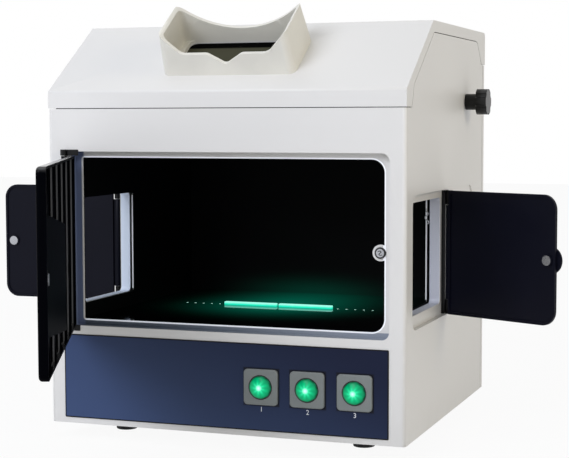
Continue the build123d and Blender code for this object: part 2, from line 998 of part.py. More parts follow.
def make_front_door():
    """Front door in its shut place: a skin with a rim, ribs, a slanting pad and the hinge barrel."""
    left = door_gap - doorway_left
    right = doorway_right - door_gap
    back = front_y + front_door_thickness
    skin_y = front_y + front_door_skin
    inner_right = right - front_door_skin
    inner_low = door_low_z + front_door_skin
    inner_high = door_high_z - front_door_skin
    face = plate(left, right, door_low_z, door_high_z, 0, doorway_radius - door_gap)
    body = across_y(face, front_y, back)
    outer_edges = body.edges().group_by(Axis.Y)[0].sort_by(Axis.X)[1:]
    body = fillet(outer_edges, front_door_edge)
    hollow = plate(
        left + front_door_skin,
        inner_right,
        inner_low,
        inner_high,
        0,
        doorway_radius - door_gap - front_door_skin,
    )
    door = body - across_y(hollow, skin_y, back)
    pad_left = left + front_pad_start
    pad_low = door_low_z + front_pad_foot
    pad_lean = front_pad_rise / (inner_right - pad_left)
    pad = outline(
        [
            (pad_left, pad_low, front_pad_radius),
            (inner_right + sheet, pad_low + front_pad_rise, 0),
            (inner_right + sheet, pad_low + front_pad_rise + front_pad_tall, 0),
            (pad_left, pad_low + front_pad_tall, front_pad_radius),
        ]
    )
    door += across_y(pad, skin_y, skin_y + front_pad_height)
    for number in range(front_rib_count):
        x = left + front_rib_first + number * front_rib_pitch
        pad_edge = pad_low + max(0, x - pad_left) * pad_lean
        upper_end = pad_edge + front_pad_tall - front_rib_width
        lower_end = pad_edge + front_rib_width
        if x < pad_left:
            upper_end = pad_edge + front_pad_tall / 2
            lower_end = upper_end
        door += front_rib(x, upper_end, inner_high + front_rib_low / 2)
        door += front_rib(x, lower_end, inner_low - front_rib_low / 2)
    door += rod_y(catch_x, catch_z, catch_tab_radius, skin_y, back)
    barrel = rod_z(front_hinge_x, front_hinge_y, front_barrel_radius, door_low_z, door_high_z)
    flap_y = front_hinge_y - front_barrel_radius / 2
    flap = block(front_hinge_x, left, flap_y, front_y - flap_gap, door_low_z, door_high_z)
    flap += block(left, left + front_flap_lap, flap_y, front_y, door_low_z, door_high_z)
    door += barrel + flap
    bore = door_pin_radius + running_gap
    return door - rod_z(front_hinge_x, front_hinge_y, bore, door_low_z, door_high_z)


def make_front_keeper():
    """Steel disc on the front door's inner face, which the magnet holds."""
    back = front_y + front_door_thickness
    return rod_y(catch_x, catch_z, keeper_radius, back, back + keeper_thickness)


# Side doors
def make_side_door(has_tab):
    """Right-hand side door in its shut place, with a hinge barrel and a tab that laps over the panel."""
    front = port_front_y + door_gap
    rear = port_rear_y - door_gap
    inner_face = half_width - side_door_thickness + door_gap
    radius = side_door_radius
    body = plate(front, rear, side_low_z, side_high_z, radius, 0)
    door = across_x(body, inner_face, half_width)
    hollow = plate(
        front + side_door_rim,
        rear - side_door_rim,
        side_low_z + side_door_rim,
        side_high_z - side_door_rim,
        radius - side_door_rim,
        side_door_rim,
    )
    pad_x = half_width - side_door_skin
    door -= across_x(hollow, inner_face, inner_face + side_door_rim / 2)
    boss = rod_x(side_catch_y, side_catch_z, keeper_radius + sheet, inner_face, pad_x)
    door += boss
    if has_tab:
        tab = Pos(front + finger_tab_radius - finger_tab_out, side_catch_z) * Circle(finger_tab_radius)
        tab_x = half_width + finger_tab_thickness
        door += across_x(tab, half_width + flap_gap, tab_x)
        door += across_x(tab & body, half_width, tab_x)
    middle_low = side_low_z + side_knuckle_length + knuckle_gap
    middle_high = side_high_z - side_knuckle_length - knuckle_gap
    door += rod_z(side_hinge_x, side_hinge_y, side_barrel_radius, middle_low, middle_high)
    door += block(
        side_hinge_x - side_barrel_radius + running_gap,
        side_hinge_x,
        rear - side_door_thickness,
        side_hinge_y,
        middle_low,
        middle_high,
    )
    bore = door_pin_radius + running_gap
    return door - rod_z(side_hinge_x, side_hinge_y, bore, middle_low, middle_high)


def make_side_keeper():
    """Steel disc on the right-hand door's inner face."""
    face = half_width - side_door_thickness + door_gap
    return rod_x(side_catch_y, side_catch_z, keeper_radius, face - keeper_thickness, face)


# Door hinges and catches
def make_door_hinge_brackets():
    """Fixed halves of the door hinges, and the strip along the hinged edge of each side recess."""
    brackets = []
    for low in (door_low_z - bracket_gap - bracket_height, door_high_z + bracket_gap):
        high = low + bracket_height
        bracket = rod_z(front_hinge_x, front_hinge_y, front_barrel_radius, low, high)
        bracket += block(
            front_hinge_x - bracket_side,
            front_hinge_x + bracket_arm,
            front_y - bracket_leaf,
            front_y,
            low,
            high,
        )
        bracket += block(
            front_hinge_x - front_barrel_radius, front_hinge_x, front_hinge_y, front_y, low, high
        )
        brackets.append(bracket - rod_z(front_hinge_x, front_hinge_y, door_pin_radius, low, high))
    floor_x = half_width - fold_back_depth
    for low in (side_low_z, side_high_z - side_knuckle_length):
        high = low + side_knuckle_length
        bracket = rod_z(side_hinge_x, side_hinge_y, side_barrel_radius, low, high)
        bracket += block(
            floor_x, floor_x + bracket_leaf, side_hinge_y, side_hinge_y + bracket_reach, low, high
        )
        bracket -= rod_z(side_hinge_x, side_hinge_y, door_pin_radius, low, high)
        brackets.append(bracket)
        brackets.append(on_left(bracket))
    strip_front = port_rear_y - port_leaf
    strip_end = floor_x + port_leaf_lap
    strip = block(port_seat_x, strip_end, strip_front, port_rear_y, side_low_z, side_high_z)
    strip += block(floor_x, strip_end, port_rear_y, side_hinge_y, side_low_z, side_high_z)
    return Compound(children=brackets + [strip, on_left(strip)])


def make_door_hinge_pins():
    """Hinge pins of the three doors."""
    low = door_low_z - bracket_gap - bracket_height
    high = door_high_z + bracket_gap + bracket_height
    pins = [
        rod_z(front_hinge_x, front_hinge_y, door_pin_radius, low, low + front_pin_length),
        rod_z(front_hinge_x, front_hinge_y, door_pin_radius, high - front_pin_length, high),
    ]
    pin = rod_z(side_hinge_x, side_hinge_y, door_pin_radius, side_low_z, side_high_z)
    return Compound(children=pins + [pin, on_left(pin)])


def make_door_magnets():
    """Round magnets in the three door frames."""
    front = rod_y(catch_x, catch_z, catch_radius, seat_y - front_catch_proud, seat_y + catch_length)
    back_x = port_seat_x - sheet
    side = rod_x(side_catch_y, side_catch_z, catch_radius, back_x, port_seat_x)
    return Compound(children=[front, side, on_left(side)])


# Lid
def make_lid_shell():
    """Folded lid sheet: front lip, slope, top, rear plate and side flanges, with the window opening."""
    outer = across_x(lid_section(0), -half_width, half_width)
    shell = outer - across_x(lid_section(sheet), -inner_x, inner_x)
    cut = below_seam(0, front_y - sheet, rear_y + sheet, seam_z - 2 * lip_height)
    shell -= across_x(cut, -half_width - sheet, half_width + sheet)
    hem = block(
        -inner_x, inner_x, inner_front_y, seat_back_y - door_gap, seam_z, seam_z + sheet
    )
    shell += hem
    opening = plate(-window_half, window_half, window_foot, window_back, hood_radius, hood_radius)
    shell -= slope_plane * up_z(opening, -2 * sheet, sheet)
    for x, s in hood_screw_places():
        shell -= slope_plane * Pos(x, s, 0) * up_z(Circle(hood_screw_radius), -2 * sheet, sheet)
    for x, z in upper_leaf_screws():
        shell -= rod_y(x, z, screw_radius, inner_rear_y, rear_y)
    return shell


def hood_section(x_half, foot, back, radius):
    """Outline of the hood at one height above the slope."""
    return plate(-x_half, x_half, foot, back, radius, radius)


def hood_screw_places():
    """Places of the hood's screws, in the middle of its side walls."""
    x = hood_half_width - hood_wall / 2
    middle = (hood_foot + hood_back) / 2
    return [
        (side * x, middle + up * hood_screw_spread) for side in (-1, 1) for up in (-1, 1)
    ]


def make_viewing_hood():
    """Moulded hood that a face rests on, with a notch for the nose and a dipped rear rim."""
    top_half = hood_half_width - hood_draft_side
    top_foot = hood_foot + hood_draft_front
    top_back = hood_back - hood_draft_back
    lower = hood_section(hood_half_width, hood_foot, hood_back, hood_radius)
    upper = Pos(0, 0, hood_rise) * hood_section(top_half, top_foot, top_back, hood_radius)
    wall = hood_wall
    radius = hood_radius - wall / 2
    inner_low = hood_section(hood_half_width - wall, hood_foot + wall, hood_back - wall, radius)
    inner_high = hood_section(top_half - wall, top_foot + wall, top_back - wall, radius)
    hood = loft([lower, upper])
    hood -= loft([Pos(0, 0, hood_floor) * inner_low, Pos(0, 0, hood_rise) * inner_high])
    opening = plate(-window_half, window_half, window_foot, window_back, radius, radius)
    hood -= up_z(opening, 0, hood_floor)
    hood -= hood_rim_cut()
    for x, s in hood_screw_places():
        depth = hood_screw_length - sheet
        hood -= Pos(x, s, 0) * up_z(Circle(hood_screw_radius), 0, depth)
    return slope_plane * hood


def hood_rim_cut():
    """What is cut off above the hood's rim: the nose notch in front and the dip behind."""
    over = hood_rise + hood_rise
    beyond = hood_half_width + hood_wall
    middle = (hood_foot + hood_back) / 2
    front = outline(
        [
            (-beyond, hood_rise, 0),
            (-hood_tip_half, hood_rise, hood_tip_radius),
            (-hood_brow_half, hood_brow, hood_brow_radius),
            (-hood_nose_half, hood_brow, hood_notch_radius),
            (-hood_nose_flat, hood_nose, hood_nose_radius),
            (hood_nose_flat, hood_nose, hood_nose_radius),
            (hood_nose_half, hood_brow, hood_notch_radius),
            (hood_brow_half, hood_brow, hood_brow_radius),
            (hood_tip_half, hood_rise, hood_tip_radius),
            (beyond, hood_rise, 0),
            (beyond, over, 0),
            (-beyond, over, 0),
        ]
    )
    dip = ThreePointArc((-hood_tip_half, hood_rise), (0, hood_dip), (hood_tip_half, hood_rise))
    frame = Polyline(
        (hood_tip_half, hood_rise), (beyond, hood_rise), (beyond, over), (-beyond, over),
        (-beyond, hood_rise), (-hood_tip_half, hood_rise),
    )
    rear = make_face([dip, frame])
    cut = across_y(front, hood_foot - hood_wall, middle)
    return cut + across_y(rear, middle, hood_back + hood_wall)


def make_window_glass():
    """Dark glass of the viewing window, under the lid's sheet."""
    face = plate(
        -window_half - window_margin,
        window_half + window_margin,
        window_foot - window_margin,
        window_back + window_margin,
    )
    return slope_plane * up_z(face, -sheet - window_thickness, -sheet)


def make_window_frame():
    """Frame that holds the window glass up against the lid's sheet."""
    grow = window_margin + window_frame_width
    outer = plate(
        -window_half - window_margin - window_cover,
        window_half + window_margin + window_cover,
        window_foot - grow,
        window_back + grow,
    )
    pocket = plate(
        -window_half - window_margin,
        window_half + window_margin,
        window_foot - window_margin,
        window_back + window_margin,
    )
    opening = plate(-window_half, window_half, window_foot, window_back, hood_radius, hood_radius)
    low = -sheet - window_thickness - window_ledge
    frame = up_z(outer, low, -sheet) - up_z(pocket, -sheet - window_thickness, -sheet)
    return slope_plane * (frame - up_z(opening, low, -sheet))


def make_lid_screws():
    """Screws that hold the hood from inside the lid, and those of the upper hinge leaves."""
    screws = [rear_screw(x, z, rear_y + hinge_leaf) for x, z in upper_leaf_screws()]
    for x, s in hood_screw_places():
        head_low = -sheet - hood_screw_head_height
        screw = up_z(Circle(hood_screw_head), head_low, -sheet)
        screw += up_z(Circle(hood_screw_radius), -sheet, hood_screw_length - sheet)
        screws.append(slope_plane * Pos(x, s, 0) * screw)
    return Compound(children=screws)


def make_lid_seal():
    """Foam strip between the front panel's flange and the lid's hem."""
    half = inner_x - seal_end_gap
    front = inner_front_y + seal_inset
    return block(-half, half, front, front + seal_width, panel_top_z, seam_z)


# Lid hinges
def hinge_knuckles(x, first, last):
    """Stretches of barrel along X, each shortened by the gap between knuckles."""
    start = x - hinge_length / 2
    gap = hinge_knuckle_gap / 2
    return [
        (start + number * hinge_knuckle_share + gap, start + (number + 1) * hinge_knuckle_share - gap)
        for number in range(first, last, 2)
    ]


def make_hinge_leaf(x, upward):
    """One hinge leaf; the lower leaf has the two outer knuckles and the upper leaf the middle one."""
    half = hinge_length / 2
    reach = hinge_leaf_height if upward else -hinge_leaf_height
    clear = hinge_barrel_radius + door_gap
    start = clear if upward else -clear
    z0, z1 = sorted((hinge_z + start, hinge_z + reach))
    leaf = block(x - half, x + half, rear_y, rear_y + hinge_leaf, z0, z1)
    stretches = hinge_knuckles(x, 1, 2) if upward else hinge_knuckles(x, 0, 3)
    for x0, x1 in stretches:
        near, far = sorted((hinge_z, hinge_z + start))
        leaf += block(x0, x1, rear_y + knuckle_gap, rear_y + hinge_leaf + knuckle_gap, near, far)
        end = sorted((hinge_z + start, hinge_z + start + (sheet if upward else -sheet)))
        leaf += block(x0, x1, rear_y, rear_y + hinge_leaf + knuckle_gap, end[0], end[1])
        leaf += rod_x(hinge_y, hinge_z, hinge_barrel_radius, x0, x1)
    bore = hinge_pin_radius + (running_gap if upward else 0)
    leaf -= rod_x(hinge_y, hinge_z, bore, x - half, x + half)
    screws = upper_leaf_screws() if upward else lower_leaf_screws()
    for screw_x, screw_z in screws:
        leaf -= rod_y(screw_x, screw_z, screw_radius, rear_y, rear_y + hinge_leaf)
    return leaf


def make_lid_hinge_lower():
    """Lower leaves of the lid hinges, on the rear panel."""
    return Compound(children=[make_hinge_leaf(x, False) for x in hinge_places()])


def make_lid_hinge_upper():
    """Upper leaves of the lid hinges, on the lid's rear plate."""
    return Compound(children=[make_hinge_leaf(x, True) for x in hinge_places()])


def make_lid_hinge_pins():
    """Headed pins through the lid hinges."""
    pins = []
    for x in hinge_places():
        half = hinge_length / 2
        pin = rod_x(hinge_y, hinge_z, hinge_pin_radius, x - half, x + half)
        pin += rod_x(hinge_y, hinge_z, hinge_pin_head_radius, x - half - hinge_pin_head, x - half)
        pin += rod_x(hinge_y, hinge_z, hinge_pin_head_radius, x + half, x + half + hinge_pin_head)
        pins.append(pin)
    return Compound(children=pins)


# Screws in the back of the cabinet
def rear_screw(x, z, head_y):
    """Screw that goes forward into the back of the cabinet."""
    return Pos(x, head_y, z) * Rot(-90, 0, 0) * pan_screw()


def make_case_screws():
    """Screws of the rear panel, the mains inlet and the lower hinge leaves."""
    places = [(side * rear_screw_x(), z, rear_y) for side in (-1, 1) for z in rear_screw_heights()]
    places += [(x, z, rear_y + inlet_flange) for x, z in inlet_screw_places()]
    places += [(x, z, rear_y + hinge_leaf) for x, z in lower_leaf_screws()]
    return Compound(children=[rear_screw(x, z, y) for x, z, y in places])


# Lamp unit, drawn level about its shaft and then tilted
def tube_places():
    """Offsets of the four tubes across the housing."""
    return [(number - 1.5) * tube_pitch for number in range(4)]


def make_lamp_housing():
    """Reflector tray that holds the tubes, open below, with a lip that carries the filter glass."""
    half = lamp_half_length
    width = lamp_half_width
    tray = block(-half, half, -width, width, -lamp_below, lamp_above)
    tray = fillet(tray.edges().filter_by(Axis.X).group_by(Axis.Z)[-1], lamp_lip)
    wall = lamp_sheet
    tray -= block(
        wall - half, half - wall, wall - width, width - wall, wall - lamp_below, lamp_above - lamp_lip
    )
    tray -= block(
        lamp_lip - half, half - lamp_lip, lamp_lip - width, width - lamp_lip, -lamp_below, lamp_above - wall
    )
    return lamp_frame * tray


def make_filter_glass():
    """Dark ultraviolet-pass glass on the lip of the lamp housing."""
    gap = lamp_sheet + filter_gap
    x = lamp_half_length - gap - socket_length
    y = lamp_half_width - gap
    low = lamp_sheet - lamp_below
    return lamp_frame * block(-x, x, -y, y, low, low + filter_thickness)


def make_tubes(numbers):
    """Glass tubes between their end caps."""
    half = tube_half_length - cap_length
    places = [tube_places()[number] for number in numbers]
    return Compound(
        children=[lamp_frame * rod_x(y, -tube_drop, tube_radius, -half, half) for y in places]
    )


def make_tube_caps():
    """Metal end caps of the tubes, with their contact pins."""
    caps = []
    inner = tube_half_length - cap_length
    pin_end = tube_half_length + cap_length
    for y in tube_places():
        cap = rod_x(y, -tube_drop, tube_radius + cap_step, inner, tube_half_length)
        for side in (-1, 1):
            pin_z = side * tube_radius / 3 - tube_drop
            cap += rod_x(y, pin_z, hood_screw_radius, tube_half_length, pin_end)
        caps.append(lamp_frame * cap)
        caps.append(lamp_frame * on_left(cap))
    return Compound(children=caps)


def make_lamp_sockets():
    """Sockets at both ends of each tube."""
    sockets = []
    far = lamp_half_length - lamp_sheet
    near = far - socket_length
    top = lamp_above - lamp_lip
    low = -tube_drop - tube_radius
    for y in tube_places():
        socket = block(near, far, y - socket_half_width, y + socket_half_width, low, top)
        for side in (-1, 1):
            pin_z = side * tube_radius / 3 - tube_drop
            socket -= rod_x(y, pin_z, hood_screw_radius, near, tube_half_length + cap_length)
        sockets.append(lamp_frame * socket)
        sockets.append(lamp_frame * on_left(socket))
    return Compound(children=sockets)


def make_lamp_shafts():
    """Flanged shafts at both ends of the lamp housing; the right one reaches the knob."""
    start = lamp_half_length
    right = rod_x(lamp_axis_y, lamp_axis_z, shaft_flange_radius, start, start + shaft_flange)
    knob_end = half_width + knob_gap + knob_socket
    right += rod_x(lamp_axis_y, lamp_axis_z, shaft_radius, start, knob_end)
    left = rod_x(lamp_axis_y, lamp_axis_z, shaft_flange_radius, -start - shaft_flange, -start)
    left += rod_x(lamp_axis_y, lamp_axis_z, shaft_radius, -inner_x + knob_gap, -start)
    return Compound(children=[right, left])


def make_pivot_bushes():
    """Bushes on the side panels that the lamp shafts turn in."""
    start = inner_x - bush_flange
    bore = shaft_radius + running_gap
    right = rod_x(lamp_axis_y, lamp_axis_z, bush_flange_radius, start, inner_x)
    right += rod_x(lamp_axis_y, lamp_axis_z, bush_radius, start, half_width)
    right -= rod_x(lamp_axis_y, lamp_axis_z, bore, start, half_width)
    left = rod_x(lamp_axis_y, lamp_axis_z, bush_flange_radius, -inner_x, -start)
    left -= rod_x(lamp_axis_y, lamp_axis_z, bore, -inner_x, -start)
    return Compound(children=[right, left])


def make_lamp_knob():
    """Fluted knob on the lamp shaft."""
    start = half_width + knob_gap
    shoulder = start + knob_boss_length
    end = shoulder + knob_head_length
    head = rod_x(0, 0, knob_head_radius, shoulder, end)
    for number in range(knob_flutes):
        angle = radians((number + 0.5) * 360 / knob_flutes)
        reach = knob_head_radius + knob_flute_out
        head -= rod_x(reach * cos(angle), reach * sin(angle), knob_flute_radius, shoulder, end)
    knob = head + rod_x(0, 0, knob_boss_radius, start, shoulder)
    knob -= rod_x(0, 0, shaft_radius, start, start + knob_socket)
    return Pos(0, lamp_axis_y, lamp_axis_z) * knob


# Electrical parts in the base
def make_power_inlet():
    """Mains inlet socket with its outer flange and rear body."""
    flange = across_y(
        plate(
            inlet_x - inlet_flange_width / 2,
            inlet_x + inlet_flange_width / 2,
            inlet_z() - inlet_flange_height / 2,
            inlet_z() + inlet_flange_height / 2,
            inlet_corner,
            inlet_corner,
        ),
        rear_y,
        rear_y + inlet_flange,
    )
    body = block(
        inlet_x - inlet_body_width / 2,
        inlet_x + inlet_body_width / 2,
        rear_y - inlet_body_length,
        rear_y,
        inlet_z() - inlet_body_height / 2,
        inlet_z() + inlet_body_height / 2,
    )
    cavity = across_y(
        plate(
            inlet_x - inlet_cavity_width / 2,
            inlet_x + inlet_cavity_width / 2,
            inlet_z() - inlet_cavity_height / 2,
            inlet_z() + inlet_cavity_height / 2,
            sheet,
            sheet,
        ),
        rear_y + inlet_flange - inlet_cavity_depth,
        rear_y + inlet_flange,
    )
    inlet = flange + body - cavity
    for x, z in inlet_screw_places():
        inlet -= rod_y(x, z, screw_radius, rear_y, rear_y + inlet_flange)
    return inlet - make_inlet_pins()


def make_inlet_pins():
    """Three contact blades of the mains inlet."""
    floor_y = rear_y + inlet_flange - inlet_cavity_depth
    start = rear_y - inlet_body_length - inlet_tag
    end = floor_y + inlet_blade_length
    half = inlet_blade_width / 2
    tall = inlet_blade_height / 2
    places = [
        (inlet_x - inlet_blade_spread, inlet_z() - inlet_blade_drop),
        (inlet_x, inlet_z() + inlet_earth_rise),
        (inlet_x + inlet_blade_spread, inlet_z() - inlet_blade_drop),
    ]
    return Compound(
        children=[block(x - half, x + half, start, end, z - tall, z + tall) for x, z in places]
    )


def make_ballasts():
    """Two lamp ballasts with mounting feet on the base tray."""
    ballasts = []
    for number in range(2):
        y = ballast_first_y + number * ballast_pitch
        x0 = ballast_x - ballast_length / 2
        x1 = ballast_x + ballast_length / 2
        y0 = y - ballast_width / 2
        y1 = y + ballast_width / 2
        body = block(x0, x1, y0, y1, pan_top_z, pan_top_z + ballast_height)
        body = chamfer(body.edges().group_by(Axis.Z)[-1], ballast_chamfer)
        feet = block(x0 - ballast_foot, x1 + ballast_foot, y0, y1, pan_top_z, pan_top_z + ballast_foot_height)
        for x in (x0 - ballast_foot / 2, x1 + ballast_foot / 2):
            feet -= rod_z(x, y, foot_bolt_radius, pan_top_z, pan_top_z + ballast_foot_height)
        ballasts.append(body + feet)
    return Compound(children=ballasts)


def make_inlet_lead():
    """Lead from the inlet's blades to the rear ballast."""
    start_y = rear_y - inlet_body_length - inlet_tag
    ballast_y = ballast_first_y + ballast_pitch
    end_x = ballast_x + ballast_length / 2
    lead_z = pan_top_z + lead_height
    points = [
        (inlet_x, start_y, lead_start_z()),
        (inlet_x, ballast_y, lead_start_z()),
        (inlet_x - lead_bend * 4, ballast_y, lead_z),
        (end_x, ballast_y, lead_z),
    ]
    path = FilletPolyline(*points, radius=lead_bend)
    profile = Plane(origin=points[0], z_dir=(0, -1, 0)) * Circle(lead_radius)
    return sweep(profile, path=path)


# All pieces, in the pose of the photograph
def make_parts():
    """Every node's name and shape."""
    parts = {
        "base_pan": make_base_pan(),
        "rubber_feet": make_rubber_feet(),
        "foot_screws": make_foot_screws(),
        "front_panel": make_front_panel(),
        "front_door_frame": make_front_door_frame(),
        "side_panel_right": make_side_panel(True),
        "side_panel_left": on_left(make_side_panel(False)),
        "port_frames": Compound(children=[make_port_frame(), on_left(make_port_frame())]),
        "rear_panel": make_rear_panel(),
        "chamber_wall_front": make_chamber_wall_front(),
        "chamber_wall_right": make_chamber_wall_right(),
        "chamber_wall_left": on_left(make_chamber_wall_right()),
        "chamber_wall_back": make_chamber_wall_back(),
        "chamber_floor": make_chamber_floor(),
        "floor_rails": make_floor_rails(),
        "spotting_light_box": make_spotting_light_box(),
        "spotting_diffusers": make_spotting_diffusers(),
        "spotting_pips": make_spotting_pips(),
        "control_fascia": make_control_fascia(),
        "power_inlet": make_power_inlet(),
        "inlet_pins": make_inlet_pins(),
        "inlet_lead": make_inlet_lead(),
        "ballasts": make_ballasts(),
        "case_screws": make_case_screws(),
        "door_hinge_brackets": make_door_hinge_brackets(),
        "door_hinge_pins": make_door_hinge_pins(),
        "door_magnets": make_door_magnets(),
        "pivot_bushes": make_pivot_bushes(),
        "lid_seal": make_lid_seal(),
        "lid_hinge_lower": make_lid_hinge_lower(),
        "lid_hinge_pins": make_lid_hinge_pins(),
        "lid_shell": make_lid_shell(),
        "viewing_hood": make_viewing_hood(),
        "window_glass": make_window_glass(),
        "window_frame": make_window_frame(),
        "lid_screws": make_lid_screws(),
        "lid_hinge_upper": make_lid_hinge_upper(),
        "lamp_housing": make_lamp_housing(),
        "filter_glass": make_filter_glass(),
        "uv_tubes_shortwave": make_tubes((0, 2)),
        "uv_tubes_longwave": make_tubes((1, 3)),
        "tube_caps": make_tube_caps(),
        "lamp_sockets": make_lamp_sockets(),
        "lamp_shafts": make_lamp_shafts(),
        "lamp_knob": make_lamp_knob(),
    }
    for number, x in enumerate(button_places(), start=1):
        parts[f"button_bezel_{number}"] = make_button_bezel(x)
        parts[f"switch_body_{number}"] = make_switch_body(x)
        parts[f"button_lens_{number}"] = make_button_lens(x)
    parts.update(make_doors())
    return parts


def make_doors():
    """The three doors and their steel discs, swung open as in the photograph."""
    front = (front_hinge_x, front_hinge_y, -front_door_angle)
    right = (side_hinge_x, side_hinge_y, side_door_angle_right)
    left = (-side_hinge_x, side_hinge_y, -side_door_angle_left)
    return {
        "front_door": swing(make_front_door(), *front),
        "front_door_keeper": swing(make_front_keeper(), *front),
        "side_door_right": swing(make_side_door(True), *right),
        "side_keeper_right": swing(make_side_keeper(), *right),
        "side_door_left": swing(on_left(make_side_door(False)), *left),
        "side_keeper_left": swing(on_left(make_side_keeper()), *left),
    }


os.makedirs("parts", exist_ok=True)
for name, shape in make_parts().items():
    export_step(shape, f"parts/{name}.step")

print("front hinge", round(front_hinge_x, 3), round(front_hinge_y, 3))
print("side hinge", round(side_hinge_x, 3), round(side_hinge_y, 3))
print("lid hinge", round(hinge_y, 3), round(hinge_z, 3))
print("lamp axis", round(lamp_axis_y, 3), round(lamp_axis_z, 3))
print("slope angle", round(degrees(slope_angle), 3))
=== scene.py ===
import math

import bmesh
import bpy
from mathutils import Matrix, Vector


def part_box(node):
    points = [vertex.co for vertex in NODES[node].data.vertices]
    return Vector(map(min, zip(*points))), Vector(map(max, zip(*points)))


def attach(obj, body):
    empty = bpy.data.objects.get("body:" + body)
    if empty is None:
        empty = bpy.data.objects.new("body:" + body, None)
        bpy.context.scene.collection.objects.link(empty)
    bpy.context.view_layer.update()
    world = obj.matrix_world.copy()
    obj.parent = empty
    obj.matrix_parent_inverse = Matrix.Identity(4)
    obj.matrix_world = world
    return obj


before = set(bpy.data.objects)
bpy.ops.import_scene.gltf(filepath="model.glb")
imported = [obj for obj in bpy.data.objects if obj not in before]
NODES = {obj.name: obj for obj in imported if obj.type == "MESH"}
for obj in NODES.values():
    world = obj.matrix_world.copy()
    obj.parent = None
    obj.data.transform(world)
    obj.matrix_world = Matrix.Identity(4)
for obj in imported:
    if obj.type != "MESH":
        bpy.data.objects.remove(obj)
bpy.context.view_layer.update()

MM = 0.001

# Places on the cabinet, in metres in the row frame
BUTTON_X = (0.0433, 0.09155, 0.1398)
BUTTON_PITCH = 0.04825
BUTTON_Z = 0.067
LENS_RADIUS = 0.011
FASCIA_FRONT = -0.1738
FASCIA_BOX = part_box("control_fascia")
FASCIA_LINE = (0.0014, 0.0009)
# painted shadow round the bezels: distances from a button's middle
BUTTON_SHADOW_RING = (0.0196, 0.0184)
LABEL_Z = 0.0445
LABEL_SIZE = 0.0068
LABEL_RAISED = 0.00005
CATCH = Vector((0.1615, -0.1635, 0.202))
SLOPE_ANGLE = math.radians(34.54)
SLOPE_FOOT = Vector((0, -0.173, 0.359))
FLOOR_Z = 0.122
BAR_HEIGHT = 0.0030
LIGHT_ROW_X = -0.0085
LIGHT_ROW_Y = 0.017
HALO_SIDE = 0.25
HALO_BEHIND = 0.40
HALO_BEFORE = 0.22
HALO_HEIGHT = 0.055
WALL_FACE = 0.1695
WALL_THICKNESS = 0.0012
PORT_REAR = -0.018
PORT_HOLE = (0.1375, 0.2488)
PORT_SEAT = 0.185
EDGING_HALF = 0.0004
EDGING_OVERLAP = 0.0001
EDGING_SHORT = 0.001
DOORWAY_MIDDLE = (0.00425, 0.20820)
DOORWAY_HALF = (0.16125, 0.08350)
DOORWAY_FOOT = DOORWAY_MIDDLE[1] - DOORWAY_HALF[1]
LIP_WIDTH = (0.0017, 0.0009)
HINGED_CORNER = 0.002
FREE_CORNER = 0.013
DOOR_HINGE = (-0.171, -0.176)
DOOR_ANGLE = math.radians(66)
DOOR_NORMAL = (math.sin(DOOR_ANGLE), math.cos(DOOR_ANGLE))
DOOR_LENGTH = 0.338


def srgb(red, green, blue):
    """A colour named by its screen values, as the linear one that the shaders use."""
    return tuple((value / 255) ** 2.2 for value in (red, green, blue))


# Shaders
class Term:
    """One output of a finish's nodes. Arithmetic on it adds the Math nodes that work it out."""

    def __init__(self, finish, socket):
        self.finish = finish
        self.socket = socket

    def output(self, name):
        """Another output of the same node."""
        return Term(self.finish, self.socket.node.outputs[name])

    def __add__(self, other):
        return self.finish.maths("ADD", self, other)

    def __mul__(self, other):
        return self.finish.maths("MULTIPLY", self, other)

    def __sub__(self, other):
        return self.finish.maths("SUBTRACT", self, other)

    def __rsub__(self, other):
        return self.finish.maths("SUBTRACT", other, self)

    def __truediv__(self, other):
        return self.finish.maths("DIVIDE", self, other)

    def __pow__(self, other):
        return self.finish.maths("POWER", self, other)

    def __gt__(self, other):
        return self.finish.maths("GREATER_THAN", self, other)

    def __abs__(self):
        return self.finish.maths("ABSOLUTE", self)

    __radd__ = __add__
    __rmul__ = __mul__

    def within(self, low, high):
        """Goes smoothly from 0 at one value to 1 at the other."""
        settings = {"interpolation_type": "SMOOTHSTEP"}
        return self.finish.add("ShaderNodeMapRange", settings, {0: self, 1: low, 2: high})


